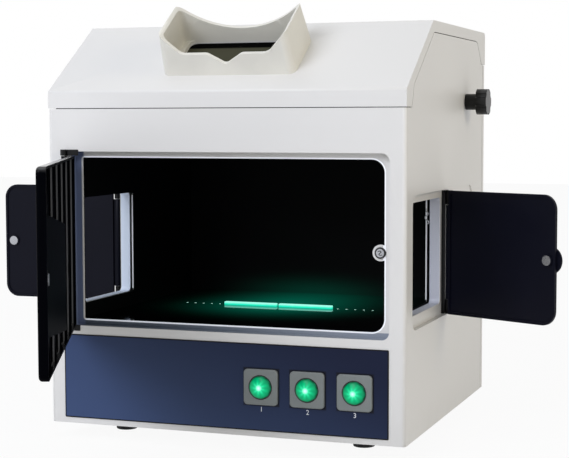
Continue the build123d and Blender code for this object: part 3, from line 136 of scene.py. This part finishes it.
class Finish:
    """A procedural material: a Principled shader and the nodes that vary it over a surface."""

    def __init__(self, name, colour, roughness, **plain):
        self.material = bpy.data.materials.new(name)
        self.material.use_nodes = True
        self.tree = self.material.node_tree
        self.shader = self.tree.nodes["Principled BSDF"]
        self.feed("Base Color", (*colour, 1))
        self.feed("Roughness", roughness)
        for socket, value in plain.items():
            self.feed(socket.replace("_", " ").title().replace("Ior", "IOR"), value)

    def add(self, kind, settings=None, sockets=None, output=0):
        """A node, its settings made first, then its sockets set or linked; returns one output."""
        node = self.tree.nodes.new(kind)
        for name, value in (settings or {}).items():
            if name == "stops":
                ramp = node.color_ramp
                while len(ramp.elements) < len(value):
                    ramp.elements.new(0.5)
                for element, (position, colour) in zip(ramp.elements, value):
                    element.position = position
                    element.color = (*colour, 1)
            else:
                setattr(node, name, value)
        for name, value in (sockets or {}).items():
            if isinstance(value, Term):
                self.tree.links.new(value.socket, node.inputs[name])
            else:
                node.inputs[name].default_value = value
        return Term(self, node.outputs[output])

    def maths(self, operation, *values):
        """A Math node on numbers or terms."""
        return self.add("ShaderNodeMath", {"operation": operation}, dict(enumerate(values)))

    def feed(self, socket, value):
        """Sets or links a socket of the shader."""
        if isinstance(value, Term):
            self.tree.links.new(value.socket, self.shader.inputs[socket])
        else:
            self.shader.inputs[socket].default_value = value

    def place(self):
        """The point's X, Y and Z in the row frame."""
        where = self.add("ShaderNodeTexCoord", output="Object")
        apart = self.add("ShaderNodeSeparateXYZ", sockets={0: where})
        return apart, apart.output("Y"), apart.output("Z")

    def noise(self, scale, detail=2.0, stretch=(1, 1, 1)):
        """Noise with so many waves to a metre, stretched along an axis by a small factor there."""
        where = self.add("ShaderNodeTexCoord", output="Object")
        stretched = self.add(
            "ShaderNodeVectorMath", {"operation": "MULTIPLY"}, {0: where, 1: stretch}
        )
        return self.add(
            "ShaderNodeTexNoise", sockets={"Vector": stretched, "Scale": scale, "Detail": detail}
        )

    def speckle(self, scale, size):
        """Scattered dots, so many cells to a metre, each covering a share of its cell."""
        where = self.add("ShaderNodeTexCoord", output="Object")
        cells = self.add("ShaderNodeTexVoronoi", sockets={"Vector": where, "Scale": scale})
        return 1 - cells.within(size * 0.6, size)

    def mix(self, share, *colours):
        """A colour between two."""
        first, second = (value if isinstance(value, Term) else (*value, 1) for value in colours)
        return self.add(
            "ShaderNodeMix",
            {"data_type": "RGBA", "clamp_factor": True},
            {0: share, 6: first, 7: second},
            output=2,
        )

    def bump(self, height, depth):
        """Raises the surface by a height from 0 to 1, times a depth in metres."""
        sockets = {"Height": height, "Distance": depth}
        self.feed("Normal", self.add("ShaderNodeBump", sockets=sockets))


def shade(colour, factor):
    """A colour made darker or lighter."""
    return tuple(min(1, value * factor) for value in colour)


def powder_coat(name, colour, roughness=0.42, low_darkening=0.12):
    """Baked paint on sheet metal: fine orange peel, faint cloudiness, and patches a little darker
    low down.
    """
    finish = Finish(name, colour, roughness, coat_weight=0.15, coat_roughness=0.25)
    z = finish.place()[2]
    cloud = finish.noise(7, 3)
    peel = finish.noise(700, 2)
    body = finish.mix(cloud, shade(colour, 0.97), shade(colour, 1.025))
    # darker in patches towards the bottom
    low = (1 - z.within(0.015, 0.06)) * finish.noise(60, 4) * low_darkening
    specks = finish.speckle(420, 0.10) * finish.noise(35).within(0.55, 0.75) * 0.25
    finish.feed("Base Color", finish.mix(low + specks, body, shade(colour, 0.62)))
    finish.feed("Roughness", roughness - 0.06 + 0.12 * peel + 0.08 * cloud)
    finish.bump(peel + 0.35 * finish.noise(2600, 1), 0.00004)
    return finish.material


def doorway_paint(name, colour):
    """The doorway frame's paint with painted light: painted shade, slate where it is hinged and
    dull on its sill, and a painted highlight, bright at its lip.
    """
    finish = Finish(name, colour, 0.4, specular_ior_level=0.4)
    x, y, z = finish.place()
    corner = (x > 0) * (FREE_CORNER - HINGED_CORNER) + HINGED_CORNER
    over_x = abs(x - DOORWAY_MIDDLE[0]) + corner - DOORWAY_HALF[0]
    over_z = abs(z - DOORWAY_MIDDLE[1]) + corner - DOORWAY_HALF[1]
    out_x = finish.maths("MAXIMUM", over_x, 0)
    out_z = finish.maths("MAXIMUM", over_z, 0)
    beyond = (out_x ** 2 + out_z ** 2) ** 0.5 - corner
    lip = abs(beyond).within(*LIP_WIDTH)
    # painted shade: slate on the hinged side, where the open door shadows the frame
    hinge_shade = x.within(-0.1545, -0.1570)
    sill = z.within(DOORWAY_FOOT, DOORWAY_FOOT - 0.0006)
    # painted shade on the sill, darker towards the hinged side
    sill_shade = finish.mix(x.within(-0.16, 0.17), srgb(70, 84, 104), srgb(136, 144, 157))
    body = finish.mix(sill, colour, sill_shade)
    body = finish.mix(hinge_shade, body, srgb(98, 112, 146))
    body = finish.mix(lip, body, colour)
    peel = finish.noise(700, 2)
    finish.feed("Base Color", finish.mix(finish.noise(9, 3) * 0.1, body, shade(colour, 0.8)))
    # painted highlight: the lip glows with emission, faintly on the hinged side
    lip_highlight = lip * (1 - 0.92 * hinge_shade)
    finish.feed("Emission Color", finish.mix(lip_highlight, (0, 0, 0), srgb(150, 156, 168)))
    finish.feed("Emission Strength", 1.0)
    finish.feed("Roughness", 0.34 + 0.12 * peel)
    finish.bump(peel, 0.00004)
    return finish.material


def port_paint(name, colour):
    """The port frames' paint, with painted light inside the necks: cooler there than out on the
    seats, brighter in the right-hand neck and shaded in the left-hand one.
    """
    finish = Finish(name, colour, 0.42, specular_ior_level=0.4)
    x = finish.place()[0]
    peel = finish.noise(700, 2)
    # painted light: a cool, bright tint in the right-hand neck and painted shade in the left-hand
    # one
    neck_light = finish.mix(x > 0, srgb(226, 238, 255), srgb(196, 199, 211))
    body = finish.mix(abs(x).within(PORT_SEAT - 0.0002, PORT_SEAT - 0.0010), colour, neck_light)
    finish.feed("Base Color", finish.mix(finish.noise(9, 3) * 0.08, body, shade(colour, 0.8)))
    finish.feed("Roughness", 0.36 + 0.12 * peel)
    finish.bump(peel, 0.00004)
    return finish.material


def door_inside(name, colour):
    """The front door's black plastic: matt, glossy where it looks up, and a painted glint along its
    ribs.
    """
    finish = Finish(name, colour, 0.42, ior=1.06, coat_roughness=0.16)
    fine = finish.noise(1500, 3)
    facing = finish.add("ShaderNodeTexCoord", output="Normal")
    parts = finish.add("ShaderNodeSeparateXYZ", sockets={0: facing})
    upward = parts.output("Z").within(0.3, 0.8)
    x, y = finish.place()[:2]
    side, back = x - DOOR_HINGE[0], y - DOOR_HINGE[1]
    deep = side * DOOR_NORMAL[0] + back * DOOR_NORMAL[1]
    along = side * DOOR_NORMAL[1] - back * DOOR_NORMAL[0]
    # painted highlight: a pale glint line along the rib flanks, stopping short of the door's free
    # end
    rib_edge = deep.within(0.0066, 0.0071) * deep.within(0.0086, 0.0079)
    rib_glint = rib_edge * along.within(DOOR_LENGTH, DOOR_LENGTH - MM)
    specks = finish.speckle(520, 0.07) * finish.noise(40).within(0.5, 0.7) * 0.08
    finish.feed("Base Color", finish.mix(specks + rib_glint * 0.45, colour, srgb(150, 152, 158)))
    finish.feed("Coat Weight", upward * 0.9)
    finish.feed("Roughness", 0.4 + 0.1 * fine)
    finish.bump(fine, 0.00003)
    return finish.material


def moulded(name, colour, roughness=0.4, grain=1400, depth=0.00004, dust=0.2, **plain):
    """Moulded plastic with spark-eroded grain, a little cloudiness and dust."""
    finish = Finish(name, colour, roughness, **plain)
    fine = finish.noise(grain, 3)
    cloud = finish.noise(24, 3)
    pale = tuple(value * 0.8 + 0.06 for value in colour)
    specks = finish.speckle(520, 0.09) * finish.noise(40).within(0.5, 0.7) * dust
    body = finish.mix(cloud, shade(colour, 0.9), shade(colour, 1.12))
    finish.feed("Base Color", finish.mix(specks, body, pale))
    finish.feed("Roughness", roughness - 0.07 + 0.1 * fine + 0.08 * cloud)
    finish.bump(fine, depth)
    return finish.material


def metal(name, colour, roughness=0.3, stretch=(1, 1, 1)):
    """Bare or plated metal with fine drawing lines and a few dull patches."""
    finish = Finish(name, colour, roughness, metallic=1.0)
    lines = finish.noise(900, 4, stretch)
    patches = finish.noise(60, 3)
    finish.feed("Base Color", finish.mix(patches, shade(colour, 0.82), shade(colour, 1.06)))
    finish.feed("Roughness", roughness - 0.08 + 0.14 * lines + 0.1 * patches)
    finish.bump(lines, 0.00002)
    return finish.material


def rubber(name, colour):
    """Matte rubber with mould grain and pale scuffs low down."""
    finish = Finish(name, colour, 0.75, specular_ior_level=0.3)
    z = finish.place()[2]
    grain = finish.noise(1100, 4)
    scuff = (1 - z.within(0.001, 0.006)) * finish.noise(220, 3) * 0.5
    pale = tuple(value + 0.08 for value in colour)
    finish.feed("Base Color", finish.mix(scuff, colour, pale))
    finish.feed("Roughness", 0.66 + 0.2 * grain)
    finish.bump(grain, 0.00008)
    return finish.material


def clear(name, colour, alpha, roughness=0.04):
    """Glass seen as a tinted, glossy film, with faint smears."""
    finish = Finish(name, colour, roughness, coat_weight=0.6, coat_roughness=0.03)
    smear = finish.noise(30, 4, (1, 0.3, 1)).within(0.45, 0.75)
    finish.feed("Roughness", roughness + 0.12 * smear)
    pale = tuple(value + 0.05 for value in colour)
    finish.feed("Base Color", finish.mix(smear * 0.15, colour, pale))
    finish.feed("Alpha", alpha)
    return finish.material


def fascia_line(place, low, high):
    """1 along the printed line at either end of the fascia, in one direction."""
    half = (high - low) / 2
    return abs(place - (low + high) / 2).within(*(half - inset for inset in FASCIA_LINE))


def printed_fascia(name):
    """Navy printed panel with painted light, paler at the lower left and shaded at the upper right,
    with dark lines round it and painted shadow round the buttons.
    """
    low, high = FASCIA_BOX
    finish = Finish(name, srgb(45, 52, 78), 0.4, specular_ior_level=0.16)
    x, _, z = finish.place()
    across = (x - low.x) / (high.x - low.x)
    up = (z - low.z) / (high.z - low.z)
    # painted light and shade: paler towards the lower left, darker towards the upper right
    share = (across * 0.75 + up * 0.35).within(0.0, 1.05)
    print_grain = finish.noise(1800, 2)
    body = finish.mix(share, srgb(64, 80, 116), srgb(20, 28, 52))
    body = finish.mix(print_grain * 0.12, body, srgb(40, 46, 70))
    line = fascia_line(x, low.x, high.x) + fascia_line(z, low.z, high.z)
    line = line.within(0.2, 0.8)
    # painted shadow: dark outlines on the panel round the three bezels
    side, rise = button_cell(x, z)
    outline = finish.maths("MAXIMUM", abs(side), abs(rise)).within(*BUTTON_SHADOW_RING)
    reach = BUTTON_PITCH * len(BUTTON_X) / 2
    outline = outline * abs(x - BUTTON_X[1]).within(reach, reach - 0.0002)
    body = finish.mix(outline * 0.85, body, srgb(12, 14, 22))
    finish.feed("Base Color", finish.mix(line, body, srgb(10, 10, 14)))
    finish.feed("Roughness", 0.34 + 0.12 * print_grain)
    finish.bump(print_grain, 0.00002)
    return finish.material


def button_cell(x, z):
    """Distances across and up from the middle of the nearest push button."""
    cell = (x - (BUTTON_X[0] - BUTTON_PITCH / 2)) / BUTTON_PITCH
    return (x.finish.maths("FRACT", cell) - 0.5) * BUTTON_PITCH, z - BUTTON_Z


def lit_lens(name):
    """Green push-button lens: a white-hot middle, rays towards the rim and a dark edge."""
    plain = {"specular_ior_level": 0.1, "coat_weight": 0.06, "coat_roughness": 0.05}
    finish = Finish(name, srgb(0, 110, 72), 0.3, **plain)
    x, _, z = finish.place()
    side, up = button_cell(x, z)
    radius = (side * side + up * up) ** 0.5 / LENS_RADIUS
    angle = finish.maths("ARCTAN2", up, side)
    rays = finish.maths("SINE", angle * 9 + radius * 2.0) * 0.5 + 0.5
    stops = [
        (0.0, srgb(225, 255, 245)),
        (0.15, srgb(165, 255, 222)),
        (0.3, srgb(52, 224, 160)),
        (0.6, srgb(8, 178, 116)),
        (0.86, srgb(2, 140, 90)),
        (1.0, srgb(0, 46, 32)),
    ]
    glow = finish.add("ShaderNodeValToRGB", {"stops": stops}, {"Fac": radius})
    streak = rays * radius.within(0.15, 0.5) * 0.45 + finish.noise(260, 2) * 0.25
    finish.feed("Emission Color", finish.mix(streak, glow, srgb(2, 118, 80)))
    finish.feed("Emission Strength", 1.3)
    finish.feed("Base Color", finish.mix(radius, srgb(0, 96, 62), srgb(0, 36, 24)))
    finish.bump(rays * radius.within(0.2, 0.6), 0.00006)
    return finish.material


def glowing(name, core, edge, strength):
    """Lit acrylic: bright along its top and greener towards its foot."""
    finish = Finish(name, shade(edge, 0.3), 0.25)
    z = finish.place()[2]
    down = z.within(FLOOR_Z + BAR_HEIGHT, FLOOR_Z + 0.0006)
    cloud = finish.noise(180, 3)
    finish.feed("Emission Color", finish.mix(down * 0.9 + cloud * 0.3, core, edge))
    finish.feed("Emission Strength", strength)
    return finish.material


def chamber_floor_finish(name):
    """Polished black floor with fine scratches, and painted green light round the bars."""
    finish = Finish(name, srgb(7, 7, 9), 0.16, specular_ior_level=0.12)
    scratches = finish.noise(240, 5, (1, 0.06, 1)).within(0.62, 0.78)
    specks = finish.speckle(300, 0.07) * 0.5
    marks = specks + scratches * 0.1
    finish.feed("Base Color", finish.mix(marks, srgb(4, 5, 7), srgb(44, 46, 50)))
    finish.feed("Roughness", 0.04 + 0.06 * scratches + 0.03 * finish.noise(40, 3))
    finish.bump(scratches, 0.00001)
    halo(finish)
    return finish.material


def halo(finish):
    """Painted green light: emission that falls off with the distance from the row of bars, further
    behind it.
    """
    x, y, z = finish.place()
    over = y - LIGHT_ROW_Y
    steps = [
        (x - LIGHT_ROW_X) / HALO_SIDE,
        finish.maths("MAXIMUM", over, 0) / HALO_BEHIND,
        finish.maths("MINIMUM", over, 0) / HALO_BEFORE,
        (z - FLOOR_Z) / HALO_HEIGHT,
    ]
    reach = sum(step ** 2 for step in steps) ** 0.5
    share = reach.within(1.0, 0.0) ** 4.8
    finish.feed("Emission Color", finish.mix(share, (0, 0, 0), srgb(0, 88, 70)))
    finish.feed("Emission Strength", 1.0)


def chamber_finish(name):
    """Matte black paint inside the chamber; the foot of its back wall has a little painted green
    light.
    """
    finish = Finish(name, srgb(9, 9, 12), 0.62, specular_ior_level=0.12)
    peel = finish.noise(800, 3)
    finish.feed("Base Color", finish.mix(peel, srgb(4, 5, 8), srgb(12, 13, 17)))
    finish.feed("Roughness", 0.55 + 0.15 * peel)
    finish.bump(peel, 0.00005)
    halo(finish)
    return finish.material


def window_finish(name):
    """Dark glass of the window, with an olive cast towards the lower edge."""
    finish = Finish(name, srgb(8, 8, 9), 0.12, ior=1.06)
    _, y, z = finish.place()
    over, rise = y - SLOPE_FOOT.y, z - SLOPE_FOOT.z
    share = (over * math.cos(SLOPE_ANGLE) + rise * math.sin(SLOPE_ANGLE)).within(0.0815, 0.0785)
    finish.feed("Base Color", finish.mix(share, srgb(5, 5, 6), srgb(74, 73, 60)))
    finish.feed("Roughness", 0.1 + 0.08 * finish.noise(50, 3))
    return finish.material


WHITE = srgb(226, 224, 221)
FINISHES = {
    "panel_white": powder_coat("powder_coat_white", WHITE),
    "chamber_black": chamber_finish("chamber_paint"),
    "floor_black": chamber_floor_finish("polished_black"),
    "fascia_navy": printed_fascia("navy_print"),
    "bezel_grey": moulded("bezel_plastic", srgb(121, 126, 125), 0.34, 1900, 0.00003, 0.1),
    "lens_green": lit_lens("green_lens"),
    "switch_black": moulded("switch_plastic", srgb(20, 20, 20), 0.42),
    "door_black": moulded("door_plastic", srgb(19, 20, 30), 0.34, 1500, 0.00003, 0.12,
                          specular_ior_level=0.1),
    "bracket_black": moulded("bracket_paint", srgb(17, 17, 19), 0.4, 900, 0.00003, 0.1,
                             specular_ior_level=0.2),
    "hood_cream": moulded("hood_plastic", srgb(226, 223, 213), 0.42, 1100, 0.00003, 0.1),
    "window_dark": window_finish("window_glass"),
    "frame_black": moulded("frame_plastic", srgb(20, 20, 20), 0.45),
    "filter_violet": clear("filter_glass", srgb(30, 14, 52), 0.9),
    "tube_clear": clear("clear_tube", srgb(225, 232, 240), 0.45),
    "tube_dark": clear("dark_tube", srgb(52, 34, 110), 0.85),
    "cap_metal": metal("cap_aluminium", srgb(205, 206, 208), 0.35, (1, 8, 8)),
    "socket_white": moulded("socket_plastic", srgb(226, 226, 220), 0.45),
    "housing_grey": metal("housing_aluminium", srgb(188, 190, 193), 0.34, (0.05, 1, 1)),
    "knob_black": moulded("knob_plastic", srgb(15, 15, 16), 0.3, 1300, 0.00004, 0.2,
                          specular_ior_level=0.3),
    "steel": metal("plated_steel", srgb(186, 188, 190), 0.3),
    "magnet_bright": metal("nickel_plate", srgb(176, 178, 184), 0.24),
    "bush_white": moulded("bush_plastic", srgb(224, 224, 218), 0.4),
    "rubber_black": rubber("foot_rubber", srgb(26, 26, 27)),
    "foam_black": rubber("foam_strip", srgb(22, 22, 23)),
    "ballast_white": powder_coat("ballast_paint", srgb(222, 224, 226), 0.4),
    "light_box": powder_coat("light_box_paint", srgb(170, 172, 174), 0.45),
    "diffuser_green": glowing("lit_acrylic", srgb(176, 255, 238), srgb(38, 232, 190), 1.0),
    "inlet_black": moulded("inlet_plastic", srgb(22, 22, 22), 0.4),
    "brass": metal("contact_brass", srgb(206, 172, 104), 0.3),
    "lead_black": rubber("lead_sheath", srgb(28, 28, 29)),
}
OWN_FINISHES = {
    "spotting_pips": glowing("small_lights", srgb(200, 240, 230), srgb(190, 235, 222), 1.5),
    "front_door_frame": doorway_paint("doorway_paint", WHITE),
    "port_frames": port_paint("port_paint", WHITE),
    "front_door": door_inside("front_door_plastic", srgb(9, 10, 14)),
}
LABEL_FINISH = moulded("label_ink", srgb(232, 234, 238), 0.5, 2200, 0.00001, 0.0)
EDGING_FINISH = moulded("edging_strip", srgb(232, 233, 236), 0.4, 1800, 0.00001, 0.0)
MARK_FINISH = moulded("catch_mark", srgb(12, 12, 13), 0.35)


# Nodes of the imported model: their finishes, and the widths in mm of their rounded edges
EDGE_ROUNDING = {
    0.9: ["viewing_hood", "lamp_knob"],
    0.8: ["front_door", "side_door_right", "side_door_left", "rubber_feet"],
    0.5: ["power_inlet", "spotting_diffusers"],
    0.4: ["front_door_frame", "port_frames"],
    0.35: ["button_bezel_1", "button_bezel_2", "button_bezel_3"],
    0.3: ["front_panel", "lid_shell", "side_panel_right", "side_panel_left", "base_pan",
          "lamp_housing", "ballasts", "spotting_light_box", "window_frame"],
    0.2: ["chamber_floor"],
}


def round_edges(thing, width):
    """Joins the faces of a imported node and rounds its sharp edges, as real ones are."""
    weld = thing.modifiers.new("join_faces", "WELD")
    weld.merge_threshold = 0.000002
    bevel = thing.modifiers.new("rounded_edges", "BEVEL")
    bevel.width = width * MM
    bevel.segments = 2
    bevel.limit_method = "ANGLE"
    bevel.angle_limit = math.radians(35)
    bevel.harden_normals = True


for node, thing in NODES.items():
    for holder in thing.material_slots:
        shared = FINISHES[holder.material.name.split(".")[0]]
        holder.material = OWN_FINISHES.get(node, shared)
for width, rounded in EDGE_ROUNDING.items():
    for node in rounded:
        round_edges(NODES[node], width)


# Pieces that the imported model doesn't have
def piece(name, mesh, finish, body):
    """Adds a mesh that rides on a body and takes a slot's finish."""
    thing = bpy.data.objects.new(name, mesh)
    bpy.context.scene.collection.objects.link(thing)
    mesh.materials.clear()
    mesh.materials.append(finish)
    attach(thing, body)


def from_curve(curve):
    """Mesh of a curve or a line of text."""
    holder = bpy.data.objects.new("outline", curve)
    bpy.context.scene.collection.objects.link(holder)
    bpy.context.view_layer.update()
    mesh = bpy.data.meshes.new_from_object(holder)
    bpy.data.objects.remove(holder)
    return mesh


def button_number(number, x):
    """Printed number under a push button, a hair proud of the panel."""
    curve = bpy.data.curves.new("button_number", "FONT")
    curve.body = str(number)
    curve.align_x = "CENTER"
    curve.align_y = "CENTER"
    curve.size = LABEL_SIZE
    curve.extrude = LABEL_RAISED * 0.8
    mesh = from_curve(curve)
    upright = Matrix.Rotation(math.pi / 2, 4, "X")
    mesh.transform(Matrix.Translation((x, FASCIA_FRONT - LABEL_RAISED, LABEL_Z)) @ upright)
    piece(f"button_number_{number}", mesh, LABEL_FINISH, "cabinet")


def turned(outline, steps=40):
    """Mesh turned about the Y axis from (radius, y) points."""
    made = bmesh.new()
    rings = []
    for radius, y in outline:
        ring = []
        for step in range(steps):
            angle = 2 * math.pi * step / steps
            ring.append(made.verts.new((radius * math.cos(angle), y, radius * math.sin(angle))))
        rings.append(ring)
    for low, high in zip(rings, rings[1:] + rings[:1]):
        for step in range(steps):
            following = (step + 1) % steps
            made.faces.new((low[step], low[following], high[following], high[step]))
    bmesh.ops.recalc_face_normals(made, faces=made.faces)
    mesh = bpy.data.meshes.new("turned")
    made.to_mesh(mesh)
    made.free()
    mesh.polygons.foreach_set("use_smooth", [True] * len(mesh.polygons))
    return mesh


def catch_ring():
    """Dark ring round the front doorway's magnet."""
    ring = [
        (0.0041, 0.0020), (0.0041, 0.0003), (0.0044, -0.0002),
        (0.0051, -0.0002), (0.0055, 0.0004), (0.0056, 0.0020),
    ]
    mesh = turned(ring)
    mesh.transform(Matrix.Translation(CATCH))
    piece("catch_ring", mesh, MARK_FINISH, "cabinet")


def bent_wire(name, radius, fineness, points, y):
    """Mesh of a round wire bent smoothly through (x, z) points at one y."""
    curve = bpy.data.curves.new(name, "CURVE")
    curve.dimensions = "3D"
    curve.bevel_depth = radius
    curve.bevel_resolution = fineness
    line = curve.splines.new("NURBS")
    line.points.add(len(points) - 1)
    for point, (x, z) in zip(line.points, points):
        point.co = (x, y, z, 1)
    line.order_u = 3
    line.use_endpoint_u = True
    return from_curve(curve)


def catch_mark():
    """Curved slot on the magnet's face."""
    points = [
        (-0.0021, 0.0016), (0.0002, 0.0024), (0.0015, 0.0008),
        (-0.0015, -0.0008), (-0.0002, -0.0024), (0.0021, -0.0016),
    ]
    mesh = bent_wire("catch_mark", 0.00045, 2, points, 0)
    mesh.transform(Matrix.Translation(CATCH))
    piece("catch_mark", mesh, MARK_FINISH, "cabinet")


def box_mesh(name, low, high):
    """Box between two corners."""
    made = bmesh.new()
    bmesh.ops.create_cube(made, size=1)
    low, high = Vector(low), Vector(high)
    middle = (low + high) / 2
    size = high - low
    for vert in made.verts:
        vert.co = Vector(part * length for part, length in zip(vert.co, size)) + middle
    mesh = bpy.data.meshes.new(name)
    made.to_mesh(mesh)
    made.free()
    return mesh


def port_edging(name, side):
    """White edging strip along the rear edge of the port in a chamber wall."""
    inner = side * (WALL_FACE - EDGING_OVERLAP)
    outer = side * (WALL_FACE + WALL_THICKNESS + EDGING_OVERLAP)
    near, far = sorted((inner, outer))
    low = (near, PORT_REAR - EDGING_HALF, PORT_HOLE[0] + EDGING_SHORT)
    high = (far, PORT_REAR + EDGING_HALF, PORT_HOLE[1] - EDGING_SHORT)
    piece(name, box_mesh(name, low, high), EDGING_FINISH, "cabinet")


def wire_clip():
    """Small bent wire at the edge of the right-hand port."""
    points = [
        (0.1700, 0.2370), (0.1702, 0.2335), (0.1722, 0.2322),
        (0.1722, 0.2302), (0.1690, 0.2285), (0.1690, 0.2258),
        (0.1724, 0.2240), (0.1736, 0.2215), (0.1712, 0.2205),
    ]
    mesh = bent_wire("wire_clip", 0.0006, 3, points, PORT_REAR - 0.0016)
    piece("port_wire_clip", mesh, FINISHES["magnet_bright"], "cabinet")


for number, x in enumerate(BUTTON_X, start=1):
    button_number(number, x)
port_edging("port_edging_right", 1)
port_edging("port_edging_left", -1)
wire_clip()
catch_ring()
catch_mark()


# Room
def area_lamp(name, place, aim, size, power, colour):
    """Large soft lamp that points at a place."""
    data = bpy.data.lights.new(name, "AREA")
    data.shape = "DISK"
    data.size = size
    data.energy = power
    data.color = colour
    lamp = bpy.data.objects.new(name, data)
    bpy.context.scene.collection.objects.link(lamp)
    lamp.location = place
    lamp.rotation_euler = (Vector(aim) - Vector(place)).to_track_quat("-Z", "Y").to_euler()


def seen_directly(tree):
    """1 on rays from the camera, a mirror or glass, and 0 on rays that only carry light."""
    path = tree.nodes.new("ShaderNodeLightPath")
    total = None
    for name in ("Is Camera Ray", "Is Glossy Ray", "Is Transmission Ray"):
        if total is None:
            total = path.outputs[name]
            continue
        larger = tree.nodes.new("ShaderNodeMath")
        larger.operation = "MAXIMUM"
        tree.links.new(total, larger.inputs[0])
        tree.links.new(path.outputs[name], larger.inputs[1])
        total = larger.outputs[0]
    return total


def white_where_seen(tree, plain, white, output, part=1.0):
    """Sends a shader to an output, with white in its place on the rays that see it directly."""
    share = tree.nodes.new("ShaderNodeMath")
    share.operation = "MULTIPLY"
    share.inputs[1].default_value = part
    tree.links.new(seen_directly(tree), share.inputs[0])
    choose = tree.nodes.new("ShaderNodeMixShader")
    tree.links.new(share.outputs[0], choose.inputs[0])
    tree.links.new(plain.outputs[0], choose.inputs[1])
    tree.links.new(white.outputs[0], choose.inputs[2])
    tree.links.new(choose.outputs[0], tree.nodes[output].inputs["Surface"])


def make_world():
    """White behind the object, and plain soft light on it."""
    world = bpy.data.worlds.new("studio")
    bpy.context.scene.world = world
    world.use_nodes = True
    tree = world.node_tree
    light = tree.nodes["Background"]
    light.inputs["Color"].default_value = (0.95, 0.97, 1.0, 1)
    light.inputs["Strength"].default_value = 0.42
    white = tree.nodes.new("ShaderNodeBackground")
    white.inputs["Color"].default_value = (1, 1, 1, 1)
    white_where_seen(tree, light, white, "World Output")


def make_floor():
    """Pale floor that keeps a soft shadow and runs into the white behind it."""
    made = bmesh.new()
    bmesh.ops.create_grid(made, x_segments=1, y_segments=1, size=6)
    mesh = bpy.data.meshes.new("studio_floor")
    made.to_mesh(mesh)
    made.free()
    floor = bpy.data.objects.new("studio_floor", mesh)
    bpy.context.scene.collection.objects.link(floor)
    floor.location = (0, 0, -0.0003)
    material = bpy.data.materials.new("studio_floor")
    material.use_nodes = True
    mesh.materials.append(material)
    tree = material.node_tree
    paint = tree.nodes["Principled BSDF"]
    paint.inputs["Base Color"].default_value = (0.82, 0.82, 0.82, 1)
    paint.inputs["Roughness"].default_value = 0.9
    white = tree.nodes.new("ShaderNodeEmission")
    white_where_seen(tree, paint, white, "Material Output", 0.93)


def make_camera():
    """The photograph's view, solved from the corners of the body."""
    data = bpy.data.cameras.new("camera")
    data.sensor_width = 36
    data.lens = 93.35
    camera = bpy.data.objects.new("camera", data)
    bpy.context.scene.collection.objects.link(camera)
    turn = Matrix.Rotation(0.3452, 4, "Z") @ Matrix.Rotation(math.pi / 2 - 0.0741, 4, "X")
    camera.matrix_world = (
        Matrix.Translation((0.5524, -1.5210, 0.3301)) @ turn @ Matrix.Rotation(-0.0020, 4, "Z")
    )
    bpy.context.scene.camera = camera


make_world()
make_floor()
make_camera()
area_lamp("key_front", (-0.7, -2.2, 1.5), (0, 0, 0.25), 1.5, 35.5, (0.87, 0.905, 1.0))
area_lamp("top", (-0.3, -0.4, 2.4), (0, 0, 0.3), 1.6, 6, (0.86, 0.93, 1.0))
area_lamp("right_fill", (2.3, -0.7, 1.25), (0, 0, 0.3), 1.1, 12, (1.0, 0.88, 0.64))
bpy.context.scene.view_settings.view_transform = "Standard"
